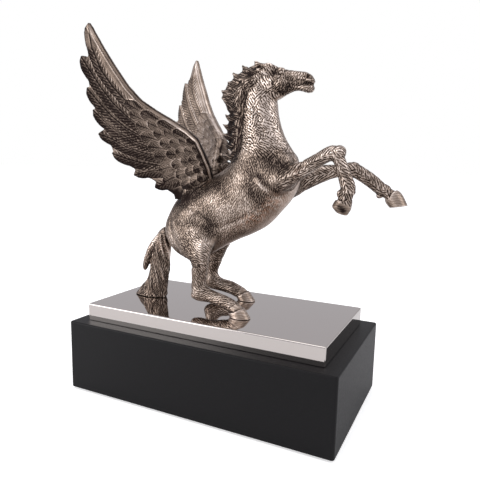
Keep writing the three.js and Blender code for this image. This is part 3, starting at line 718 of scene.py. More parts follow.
    def model(self) -> bpy.types.Mesh:
        """Join the masses, legs, head, mane and tail and melt them into the fine skin."""
        clay = Clay()
        clay.take(self.masses())
        for stations in (self.right_hind, self.left_hind, self.right_fore, self.left_fore):
            clay.limb(stations, 20)
        for stations in self.hooves:
            clay.limb(stations, 20)
        clay.limb(self.tail, 20)
        clay.strand(self.tail_lock, 12)
        self.tail_strands(clay)
        self.joints(clay)
        soft = Clay()
        self.head(soft)
        self.mane(soft)
        skin = soft.melt(self.soft_voxel)
        points, edges = mesh_arrays(skin)
        store(skin, relax(points, edges, 5, 0.5))
        clay.take(skin)
        return clay.melt(self.voxel)

    def joints(self, clay: Clay) -> None:
        """Press on the bony points of the legs."""
        clay.ball((-14.2, -17.5, 10.6), (3.4, 3.6, 4.2), -30)      # right hock
        clay.ball((-23.6, 16.3, 12.0), (3.4, 3.6, 4.4), -30)       # left hock
        clay.ball((13.4, -19.6, 4.6), (2.6, 3.0, 2.4), 0)          # right hind fetlock
        clay.ball((-1.6, 18.8, 4.2), (2.6, 3.0, 2.4), 0)           # left hind fetlock
        clay.ball((79.6, -13.2, 107.0), (4.2, 4.9, 4.2), 0)        # right knee
        clay.ball((83.0, 10, 97.6), (4.6, 4.9, 4.6), 0)            # left knee
        clay.ball((85.8, -13, 84.2), (4.7, 4.2, 2.6), 0)           # right fore fetlock
        clay.ball((102.6, 10, 85.4), (4.0, 4.1, 3.6), 0)           # left fore fetlock
        clay.ball((81.2, -13, 83.0), (2.0, 2.6, 2.6), 0)           # right ergot
        clay.ball((99.8, 10, 81.8), (2.0, 2.6, 2.0), 0)            # left ergot

    def tail_strands(self, clay: Clay) -> None:
        """Lay twisted strands over the tail."""
        rows = eased([((a + c) / 2, side, (b + d) / 2, abs(a - c) / 2, half)
                      for a, b, c, d, side, half in self.tail], 3)
        strands, twist, inset, thick = 9, 9.0, 0.93, 1.1           # twist in degrees from row to row
        for k in range(strands):
            points = []
            for n, (x, side, z, wide, half) in enumerate(rows):
                turn = math.radians(k * 360.0 / strands + n * twist)
                wave = inset * (1.0 + 0.06 * math.sin(n * 1.1 + k))
                points.append((x + wave * wide * math.cos(turn), side + wave * half * math.sin(turn), z,
                               thick))
            clay.strand(points[1::2], 8, 3)

    def head(self, clay: Clay) -> None:
        """Model the skull, open mouth, eyes, nostrils and laid-back ears."""
        clay.limb(self.skull, 24)
        clay.limb(self.jaw, 20)
        for ear in (self.ear, mirrored(self.ear)):
            clay.limb(ear, 14)
        clay.pair((38.6, -6.0, 148.4), (5.0, 2.0, 4.6), 0)       # cheek
        clay.pair((38.7, -6.1, 155.6), (2.1, 1.5, 1.6), 0)       # eye
        clay.pair((38.2, -5.2, 158.0), (3.2, 1.7, 1.1), -8)      # brow
        clay.pair((45.2, -4.3, 153.4), (5.2, 1.3, 1.1), -8)      # face bone
        clay.pair((55.4, -3.9, 152.9), (2.4, 1.5, 2.0), -25)     # nostril
        clay.ball((56.6, MID, 150.3), (2.8, 4.5, 1.8), -14)      # upper lip
        clay.ball((56.9, MID, 146.6), (2.3, 3.9, 1.7), -8)       # lower lip
        clay.ball((55.4, MID, 144.7), (3.0, 3.1, 1.6), 0)        # chin
        clay.pair((35.0, -3.0, 142.4), (2.6, 2.2, 2.0), 20)      # throat latch
        for k in range(4):                                       # forelock
            side = MID + (k - 1.5) * 2.6
            clay.strand([(25, side, 160.5, 1.6), (30, side, 161.0, 1.5), (34.5, side * 1.1, 159.9, 0.6)], 8)

    def mane(self, clay: Clay) -> None:
        """Lay the flame-shaped locks of the mane on both sides of a full core."""
        clay.limb(self.mane_core, 16, 4)
        for k, (root_x, root_z, mid_x, mid_z, tip_x, tip_z, thick) in enumerate(self.locks):
            blunt = 1.1 if k < 5 else 0.7
            for turn, side in enumerate((-1, 1)):
                lean = 0.7 * turn
                out = 5.6 if k else 4.6
                upper_x, upper_z = (root_x + mid_x) / 2, (root_z + mid_z) / 2 - 0.4
                lower_x, lower_z = (mid_x + tip_x) / 2 + lean, (mid_z + tip_z) / 2 - 0.8
                clay.strand([(root_x + 1.5, MID + side * (out + 0.4), root_z + 1.2, thick * 0.6),
                             (upper_x, MID + side * out, upper_z, thick * 1.05),
                             (mid_x + lean, MID + side * 4.1, mid_z, thick * 1.05),
                             (lower_x, MID + side * 2.8, lower_z, thick * 0.9),
                             (tip_x + 0.8 + lean, MID + side * 1.4, tip_z, blunt),
                             (tip_x + lean, MID + side * 1.2, tip_z + 0.2, 0.4)], 10, 4, 0.75)


@dataclass
class WingPlane:
    """The plane a wing is drawn in: back and up lie in it, and out stands clear of it.

    Attributes:
        side: -1 for the horse's right wing, 1 for its left.
    """

    side: int
    root: Point = (-3.2, -4.1, 98.4)
    normal: Point = (0.398, -0.867, -0.3)

    def axes(self) -> np.ndarray:
        """Give the back, up and out directions as the rows of an array."""
        out = Vector(self.normal).normalized()
        up = (Vector((0, 0, 1)) - out * out.z).normalized()
        back = up.cross(out)
        if back.x > 0:
            back.negate()
        return np.array([back, up, out])

    def place(self, points: np.ndarray) -> np.ndarray:
        """Carry points of the wing's plane to the horse's own millimetres."""
        placed = np.atleast_2d(points) @ self.axes() + np.array(self.root)
        placed[:, 1] *= -self.side
        return placed

    def section(self, row: Sequence[float]) -> tuple[Vector, Vector, Vector]:
        """Give an oval section across the wing's arm, from back, up, out, half width and half thickness."""
        back, up, out, wide, thick = row
        middle, across, through = self.place(np.array([[back, up, out], [back + wide, up, out],
                                                       [back, up, out + thick]]))
        return Vector(middle), Vector(across - middle), Vector(through - middle)


@dataclass(frozen=True)
class Mark:
    """A line or spot on the horse's right side, and on its left as well, where something is done to the skin.

    Attributes:
        line: x, side and z of its points.
        radius: how far it reaches to either side, mm.
        amount: how much is done, in mm when it is pressed in and as a share when it is a tone.
    """

    line: tuple[Point, ...]
    radius: float
    amount: float

    def weigh(self, points: np.ndarray) -> np.ndarray:
        """Measure how strongly each point is touched."""
        folded = points.copy()
        folded[:, 1] = MID - np.abs(points[:, 1] - MID)
        stops = [np.array(stop, float) for stop in self.line]
        gap = np.linalg.norm(folded - stops[0], axis=1)
        for start, end in zip(stops[:-1], stops[1:]):
            gap = np.minimum(gap, segment_gap(folded, start, end)[0])
        return self.amount * bell(gap, self.radius)


def segment_gap(points: np.ndarray, start: np.ndarray, end: np.ndarray) -> tuple[np.ndarray, np.ndarray]:
    """Measure points against a straight line.

    Args:
        points: the points.
        start: one end of the line.
        end: its other end.

    Returns:
        Each point's distance, and how far along the line its foot lies, from 0 to 1.
    """
    run = end - start
    t = np.clip((points - start) @ run / max(run @ run, 1e-9), 0, 1)
    return np.linalg.norm(points - start - t[:, None] * run, axis=1), t


def ring(x: float, side: float, z: float, radius: float, flat: float = 1.0) -> tuple[Point, ...]:
    """Draw a ring in the side view."""
    return tuple((x + radius * math.cos(a), side, z + radius * flat * math.sin(a))
                 for a in (k * math.tau / 12 for k in range(13)))


CHASING = {
    Part.TRUNK: Chasing(1.08, 1.1, 0.27, 0.25, (38, 55, 20, 45), 13, 8),
    Part.NECK: Chasing(1.35, 1.5, 0.31, 0.38, (46, 50, -38, 42), 12, 5),
    Part.HEAD: Chasing(1.2, 1.1, 0.30, 0.34, (60, 35, 100), 6, 14),
    Part.MANE: Chasing(1.15, 4.8, 0.32, 0.42, (-4, 4), 9, 3),
    Part.FORELEG: Chasing(1.3, 1.9, 0.31, 0.36, (42,), 20, 5, True),
    Part.HIND_LEG: Chasing(1.2, 1.3, 0.28, 0.30, (42, 30), 9, 7),
    Part.TAIL: Chasing(1.15, 2.3, 0.28, 0.30, (-16, 14, 30), 8, 7),
}

# how much brighter or darker each part is made, as shares of the whole range of tones
TONES = {Part.TRUNK: 0.05, Part.NECK: 0.10, Part.HEAD: -0.08, Part.MANE: -0.12, Part.FORELEG: -0.04,
         Part.HIND_LEG: -0.10, Part.TAIL: -0.21, Part.HOOF: -0.16}

PRESSES = (
    # nostril
    Mark(((55.9, -5.6, 153.0),), 0.95, 1.5),
    # eyelids
    Mark(ring(38.7, -7.2, 155.6, 2.0, 0.72), 0.42, 0.55),
    # hollow behind the eye
    Mark(((34.0, -7.2, 156.0),), 1.4, 0.9),
    # ear
    Mark(((24, -8.4, 159.8), (31, -8.4, 156.6)), 0.9, 1.3),
    # under the face bone
    Mark(((42.6, -6, 151.5), (52.5, -4.4, 150.2)), 0.8, 0.45),
    # mouth
    Mark(((52.0, -5.2, 149.4), (54.4, -5.2, 148.4), (58.5, -4.6, 148.1), (59.6, -1, 148.1)), 0.5, 0.45),
    # edge of the cheek
    Mark(ring(38.9, -7.8, 148.3, 5.2, 0.95)[5:12], 0.7, 0.45),
    # behind the shoulder
    Mark(((30.4, -16, 92), (34.4, -17, 86.6), (39.4, -17, 82.2), (44, -13, 79)), 1.5, 0.9),
    # ridges over the shoulder and along the flank, which are raised
    Mark(((28.3, -17, 89.8), (32.5, -17.5, 85.6), (37.5, -17, 81.5), (42, -16, 79), (48, -17, 81.6),
          (56, -18, 88.6)), 0.9, -0.5),
    Mark(((-2, -15, 53.1), (2.4, -15.5, 54.7), (13.7, -16, 58.1), (27.3, -16, 65.3),
          (36, -13, 74)), 1.1, -0.5),
    # flank fold
    Mark(((0, -15, 57), (13, -16, 61.6), (26, -16, 68.6), (34, -15, 76)), 1.4, 0.7),
    # front of the thigh
    Mark(((-14.3, -17, 66), (-6, -17, 60), (-1, -16, 53.4), (-1.5, -15, 47)), 1.3, 0.9),
    # back of the thigh
    Mark(((-38, -14, 60), (-36, -16, 50), (-30, -17, 42.6)), 1.2, 0.5),
    # gaskin
    Mark(((-14, -22, 47), (-10.4, -22, 38), (-9, -22, 28)), 1.0, 0.5),
    # elbow
    Mark(((42, -14, 101), (50, -16, 96), (60, -18, 99)), 1.2, 0.6),
    # groove of the neck
    Mark(((20, -11, 146), (24, -10.5, 132), (30, -11, 118), (40, -10, 108)), 1.6, 0.5),
    # between the breasts
    Mark(((52, -4, 108), (47, -5, 98), (46, -4, 88)), 1.4, 0.7),
)

# darker patches, some of tarnish and some painted shade: painted shade in the eye hollow, nostril and mouth,
# along the edge of the mane, along the back under the near wing and over the haunch
TARNISH_AND_PAINTED_SHADE = (
    Mark(((31, -14, 105), (38, -14, 103), (42, -14, 98)), 5.2, 0.42),
    Mark(((24, -17, 84), (30, -17, 77)), 4.5, 0.30), Mark(((21, -17, 99), (26, -17, 91)), 4, 0.28),
    Mark(((34, -16, 90), (42, -15, 84.4)), 2.6, 0.34), Mark(((-6, -16, 58), (0, -16, 52)), 3.8, 0.36),
    Mark(((34.2, -7.2, 156),), 1.6, 0.5), Mark(((5, -5, 131), (4, -5, 118), (5, -5, 106)), 4, 0.22),
    Mark(((20.5, -9, 149), (15.6, -9.5, 143), (15.6, -10, 134)), 1.6, 0.55),
    Mark(((14.8, -10, 130), (13, -11, 116), (10.4, -12, 103)), 2.2, 0.42),
    Mark(((-39.6, -10, 78.3), (-33.3, -12, 75.9), (-27, -13, 75.6), (-16.3, -15, 79.9),
          (-5.2, -16, 86.7)), 4, 0.54),
    Mark(((-8, -18, 66),), 5, 0.3), Mark(((6, -16, 84),), 7, 0.3), Mark(((-47, -4, 48),), 5, 0.4),
    Mark(((55.9, -5.6, 153.0),), 1.2, 0.7), Mark(((50, -3, 148.2), (58, -3, 148.2)), 1.0, 0.25),
    Mark(((-19, -22, 44), (-14, -22, 34)), 3, 0.22), Mark(((-34, -15, 64), (-24, -18, 56)), 8, 0.27),
    Mark(((18, -8, 156),), 3, 0.3), Mark(((35, -8, 145), (44, -6, 146.5)), 3.2, 0.22),
    Mark(((82, -17, 75.6), (84.5, -17, 73.6)), 1.5, 0.5),
)

# bright patches, some rubbed wear on the ridges and bony points and some painted highlights: on the crest,
# down the neck, on the stifle and along the underside of the right shoulder and foreleg
RUBBED_AND_PAINTED_HIGHLIGHTS = (
    Mark(((-6.7, -22, 47.8), (-11.1, -22, 43.5)), 3, 0.38), Mark(((18, -9, 143),), 3, 0.25),
    Mark(((35, -12, 112), (44, -9, 116)), 4, 0.22), Mark(((36, -10, 122), (31, -9, 134)), 3, 0.2),
    Mark(((28.3, -18, 89.8), (37.5, -18, 82.5)), 1.4, 0.35),
    Mark(((2.4, -16, 54.7), (27.3, -16, 65.3)), 1.5, 0.25),
    Mark(((44, -16, 80), (56, -18, 88.8), (64, -17, 95)), 1.6, 0.30),
    Mark(((-19, -18, 55), (-14, -18, 47)), 3, 0.16), Mark(((52, -4, 156.5),), 3, 0.15),
    Mark(((78, -16, 107),), 4, 0.2), Mark(((-14, -21, 11),), 3, 0.2),
)

COPPERED = (
    Mark(((27, -14, 64), (35, -14, 70)), 4.5, 0.6), Mark(((17, -16, 59), (21, -16, 62)), 3, 0.5),
    Mark(((-15.3, -20, 5.7),), 2.4, 0.7), Mark(((40, -10, 78),), 5, 0.4), Mark(((-46, -8, 40),), 5, 0.35),
    Mark(((56, -16, 94),), 3, 0.3), Mark(((-60, -6, 30),), 5, 0.3),
)


@dataclass(frozen=True)
class Seam:
    """A joint between two castings: a flat cut through part of the skin.

    Attributes:
        casting: the casting beyond the cut.
        middle: a point of the cut.
        normal: the way that casting lies.
        reach: how far from the middle the cut goes, mm.
        spot: a place well inside that casting.
    """

    casting: str
    middle: Point
    normal: Point
    reach: float
    spot: Point


def cut_across(casting: str, stations: Sequence[Station], reach: float) -> Seam:
    """Put a seam at the first of a limb's sections."""
    ends = [Vector(middle) for middle in middles(stations)]
    top_x, top_z, under_x, under_z = stations[0][:4]
    across = Vector((top_x - under_x, 0, top_z - under_z))
    normal = across.cross(Vector((0, 1, 0))).normalized()
    if normal.dot(ends[1] - ends[0]) < 0:
        normal.negate()
    middle_of_limb = ends[len(ends) // 2]
    return Seam(casting, tuple(ends[0]), tuple(normal), reach, tuple(middle_of_limb))


@dataclass
class Foundry:
    """Turns the clay horse into chased and patinated castings, with painted light and shade in their tones.
    """

    horse: Horse = field(default_factory=Horse)
    other_side: float = 1.2             # skin that lies this far from a stroke's plane is not cut by it, mm
    crumb: int = 200                    # pieces with no more points than this are swept away
    worn: Point = (0.85, 0.0, -0.53)      # the way the worn breast and belly face
    ground: float = 0.62                # tone of flat skin, from 0 in a hollow to 1 on a ridge
    cut_tone: float = 1.6               # how much darker the tone is for each mm of cut

    def seams(self) -> list[Seam]:
        """List the joints of the cast horse."""
        horse = self.horse
        return [cut_across("right_foreleg", [horse.right_shoulder[-1], *horse.right_fore[1:]], 9.5),
                cut_across("left_foreleg", [horse.left_shoulder[-1], *horse.left_fore[1:]], 10),
                cut_across("right_hind_leg", horse.right_hind, 9),
                cut_across("left_hind_leg", horse.left_hind, 9),
                cut_across("tail", horse.tail, 8)]

    def label(self, points: np.ndarray) -> tuple[np.ndarray, np.ndarray]:
        """Find the part that each point belongs to, and which way that part runs there."""
        parts = list(Part)
        best = np.full(len(points), np.inf)
        owner = np.zeros(len(points), int)
        along = np.zeros((len(points), 3))
        for bone in self.horse.bones():
            stops = [np.array(stop, float) for stop in bone.points]
            for start, end in zip(stops[:-1], stops[1:]):
                gap = segment_gap(points, start, end)[0] / bone.reach
                near = gap < best
                best[near] = gap[near]
                owner[near] = parts.index(bone.part)
                along[near] = (end - start) / max(np.linalg.norm(end - start), 1e-9)
        return owner, along

    def chase(self, points: np.ndarray, normals: np.ndarray, owner: np.ndarray,
              along: np.ndarray) -> np.ndarray:
        """Cut the hair, stroke by stroke.

        Args:
            points: the skin's points.
            normals: their normals.
            owner: the part each belongs to.
            along: which way that part runs there.

        Returns:
            How deep the skin is cut at each point, mm.
        """
        chance = np.random.default_rng(self.horse.seed)
        tree = KDTree(len(points))
        for k, point in enumerate(points):
            tree.insert(point, k)
        tree.balance()
        depth = np.zeros(len(points))
        count = 0
        for number, part in enumerate(Part):
            if part not in CHASING:
                continue
            style = CHASING[part]
            taken = np.zeros(len(points), bool)
            for k in chance.permutation(np.flatnonzero(owner == number)):
                if taken[k]:
                    continue
                middle, normal = points[k], normals[k]
                flow = along[k] - normal * (along[k] @ normal)
                size = np.linalg.norm(flow)
                if size < 0.2:
                    continue
                flow /= size
                cell = noise.noise(Vector(middle) / style.patch)
                lean = style.angles[int((0.5 + cell) * len(style.angles) * 1.4) % len(style.angles)]
                if style.herringbone:
                    over = np.cross(along[k], (0, 1, 0)) @ normal > 0
                    lean *= (1.0 if over else -0.4) * np.sign(MID - middle[1])
                turn = math.radians(lean + chance.normal(0, style.wander))
                way = math.cos(turn) * flow + math.sin(turn) * np.cross(normal, flow)
                aside = np.cross(normal, way)
                length = style.length * chance.uniform(0.8, 1.2)
                deep = style.depth * chance.uniform(0.7, 1.25)
                near = np.array([hit[1] for hit in tree.find_range(middle, length + style.width)])
                offset = points[near] - middle
                run, off, rise = offset @ way, offset @ aside, offset @ normal
                cut = deep * bell(off, style.width) * np.clip(1 - (run / length) ** 2, 0, 1)
                cut[np.abs(rise) > self.other_side] = 0
                depth[near] = np.maximum(depth[near], cut)
                taken[near[(np.abs(off) < 0.8 * style.pitch) & (np.abs(run) < 0.95 * length)]] = True
                count += 1
        LOG.info("%d strokes cut", count)
        return depth

    def cast(self) -> dict[str, bpy.types.Object]:
        """Model, chase, patinate and divide the horse, painting light and shade into its tones.

        Returns:
            The castings by name.
        """
        skin = self.horse.model()
        points, edges = mesh_arrays(skin)
        points = relax(points, edges, 3, 0.5)
        store(skin, points)
        normals = normals_of(skin)
        presses = PRESSES + self.horse.coronets()
        points = points - normals * sum(mark.weigh(points) for mark in presses)[:, None]
        store(skin, points)
        normals = normals_of(skin)
        owner, along = self.label(points)
        depth = self.chase(points, normals, owner, along)
        parts = list(Part)
        rubbed = 1 - 0.75 * smoothstep(0.5, 0.9, normals @ np.array(self.worn))
        smooth = spread((owner == parts.index(Part.HOOF)).astype(float), edges, 2)
        depth = depth * np.where(owner <= parts.index(Part.NECK), rubbed, 1) * (1 - smooth)
        store(skin, points - normals * depth[:, None])
        LOG.info("skin of the horse: %d points, cut up to %.2f mm deep", len(points), depth.max())
        tones = np.array([TONES[part] for part in Part])[owner]
        self.patinate_and_paint_light_and_shade(skin, edges, depth, smooth, spread(tones, edges, 12))
        return self.divide(skin)

    def patinate_and_paint_light_and_shade(self, skin: bpy.types.Mesh, edges: np.ndarray, depth: np.ndarray, smooth: np.ndarray,
                 tones: np.ndarray) -> None:
        """Work out the tones of the plate: dark in hollows, bright on ridges and where hands have rubbed,
        with painted shade in the broad hollows, on the undersides and at listed spots, and painted highlights
        at listed spots.

        Args:
            skin: the chased skin.
            edges: its edges.
            depth: how deep it is cut at each point, mm.
            smooth: how far each point belongs to a hoof.
            tones: how much brighter or darker each part is made.
        """
        points = mesh_arrays(skin)[0]
        normals = normals_of(skin)
        # tone falls in the cut strokes, with patina in the fine hollows and painted shade in the broad ones
        relief = self.ground - self.cut_tone * depth - shade(points, edges, normals, 10, 0.8, 0.45)
        # rubbed wear and painted highlights at the listed marks
        relief += sum(mark.weigh(points) for mark in RUBBED_AND_PAINTED_HIGHLIGHTS)
        growth = np.sin(math.tau * points[:, 2] / 1.5 + 1.4 * np.sin(points[:, 0]))     # rings of the hoof
        relief = np.clip(relief + tones + 0.07 * smooth * growth, 0, 1)
        # tarnish patches and painted shade at the listed marks
        tarnish_and_painted_shade = np.clip(sum(mark.weigh(points) for mark in TARNISH_AND_PAINTED_SHADE), 0, 0.6)
        # painted shade: the plate is made darker on the undersides, which face down
        tarnish_and_painted_shade += 0.10 * smoothstep(0.1, -0.7, normals[:, 2])
        flecks = np.array([noise.noise(Vector(point) * 0.55) for point in points])
        copper = np.clip(sum(mark.weigh(points) for mark in COPPERED), 0, 1) * (1 - smooth)
        copper = copper * smoothstep(-0.35, 0.35, flecks)
        paint(skin, relief, tarnish_and_painted_shade, copper)

    def divide(self, skin: bpy.types.Mesh) -> dict[str, bpy.types.Object]:
        """Saw the skin into castings at the seams and close each of them.

        Args:
            skin: the whole horse.

        Returns:
            The castings by name.
        """
        bm = bmesh.new()
        bm.from_mesh(skin)
        bpy.data.meshes.remove(skin)
        for seam in self.seams():
            middle, normal = Vector(seam.middle), Vector(seam.normal)
            faces = [face for face in bm.faces
                     if (face.calc_center_median() - middle).length < seam.reach
                     and abs((face.calc_center_median() - middle).dot(normal)) < 1.5]
            local = {part for face in faces for part in (face, *face.edges, *face.verts)}
            cut = bmesh.ops.bisect_plane(bm, geom=list(local), dist=1e-5, plane_co=middle, plane_no=normal)
            line = [part for part in cut["geom_cut"] if isinstance(part, bmesh.types.BMEdge)]
            bmesh.ops.split_edges(bm, edges=line)
        islands = self.islands(bm)
        castings = {"body": self.close(bm, max(islands, key=len), "body")}
        for seam in self.seams():
            place = Vector(seam.spot)
            mine = min(islands, key=lambda island: min((vert.co - place).length for vert in island[::9]))
            castings[seam.casting] = self.close(bm, mine, seam.casting)
        bm.free()
        return castings

    def islands(self, bm: bmesh.types.BMesh) -> list[list[bmesh.types.BMVert]]:
        """Sort the points of a mesh into the pieces that hang together."""
        seen: set[bmesh.types.BMVert] = set()
        found = []
        for vert in bm.verts:
            if vert in seen:
                continue
            seen.add(vert)
            island, front = [], [vert]
            while front:
                here = front.pop()
                island.append(here)
                for edge in here.link_edges:
                    other = edge.other_vert(here)
                    if other not in seen:
                        seen.add(other)
                        front.append(other)
            if len(island) > self.crumb:
                found.append(island)
        return found

    @staticmethod
    def close(bm: bmesh.types.BMesh, island: list[bmesh.types.BMVert], name: str) -> bpy.types.Object:
        """Copy one casting out of the sawn skin, close its seams and put it in its place, in metres."""
        part = bm.copy()
        bm.verts.index_update()
        inside = {vert.index for vert in island}
        bmesh.ops.delete(part, geom=[vert for k, vert in enumerate(part.verts) if k not in inside],
                         context="VERTS")
        rims = [edge for edge in part.edges if edge.is_boundary]
        for edge in rims:
            edge.smooth = False
        bmesh.ops.holes_fill(part, edges=rims, sides=0)
        bmesh.ops.triangulate(part, faces=[face for face in part.faces if len(face.verts) > 4])
        for face in part.faces:
            face.smooth = True
        bmesh.ops.transform(part, matrix=to_metres(), verts=part.verts)
        return thin_out(link(poured(part, name), f"horse_{name}"))


def thin_out(piece: bpy.types.Object, limit: int = 190_000) -> bpy.types.Object:
    """Take triangles away where the skin is flattest, if a piece has more than the given limit."""
    count = sum(len(face.vertices) - 2 for face in piece.data.polygons)
    if count > limit:
        rasp = piece.modifiers.new("rasp", "DECIMATE")
        rasp.ratio = limit / count
        full = piece.data
        piece.data = shaped(piece)
        piece.modifiers.clear()
        bpy.data.meshes.remove(full)
        LOG.info("%s thinned from %d to %d triangles", piece.name, count, len(piece.data.polygons))
    return piece


def hollowness(points: np.ndarray, edges: np.ndarray, normals: np.ndarray, rounds: int) -> np.ndarray:
    """Measure how far each point lies below the skin around it, mm; ridges come out below zero."""
    return np.einsum("ij,ij->i", relax(points, edges, rounds, 1.0) - points, normals)


def shade(points: np.ndarray, edges: np.ndarray, normals: np.ndarray, rounds: int, strength: float,
          deepest: float) -> np.ndarray:
    """Work out how much darker the plate is for the hollows it lies in: patina in the fine hollows, and
    painted shade in the broad ones, such as between the legs and at the base of the mane.

    Args:
        points: the skin's points.
        edges: its edges.
        normals: its normals.
        rounds: how often the skin is relaxed to find the broad hollows.
        strength: how much painted shade the broad hollows get, for each mm.
        deepest: the depth beyond which they get no darker, mm.

    Returns:
        What to take off the tone, for fine and for broad hollows together.
    """
    fine = hollowness(points, edges, normals, 1)
    broad = hollowness(points, edges, normals, rounds)
    return 2.0 * np.clip(fine, -0.07, 0.12) + strength * np.clip(broad, -0.2, deepest)


# ---------------------------------------------------------------------------------------------------------
# the wings
# ---------------------------------------------------------------------------------------------------------
@dataclass(frozen=True)
class Feather:
    """A feather in the wing's plane.

    Attributes:
        line: back and up of its middle line, from the tip.
        half: half its width, mm.
        lift: how far it lies above the blade, mm.
        covert: whether it is a short covert with a rolled rim.
        bare: how much of the tip is left plain, mm.
    """

    line: tuple[tuple[float, float], ...]
    half: float
    lift: float
    covert: bool = False
    bare: float = 1.0

    def measure(self, spots: np.ndarray) -> tuple[np.ndarray, np.ndarray]:
        """Measure spots along the feather from its tip, and across it towards the side that shows."""
        stops = [np.array(stop, float) for stop in self.line]
        best = np.full(len(spots), np.inf)
        along, across = np.zeros(len(spots)), np.zeros(len(spots))
        run_so_far = 0.0
        for k, (start, end) in enumerate(zip(stops[:-1], stops[1:])):
            gap, t = segment_gap(spots, start, end)
            run = end - start
            length = np.linalg.norm(run)
            run /= length
            rel = spots - start
            near = gap < best
            best[near] = gap[near]
            along[near] = run_so_far + (t * length if k else rel @ run)[near]
            across[near] = (run[0] * rel[:, 1] - run[1] * rel[:, 0])[near]
            run_so_far += length
        return along, across

    def width(self, along: np.ndarray) -> np.ndarray:
        """Give the half width at a distance from the tip."""
        point = 1.7 * self.half if self.covert else 1.9 * self.half
        return self.half * np.sqrt(np.clip(1 - (1 - np.clip(along / point, 0, 1)) ** 2, 0, 1))


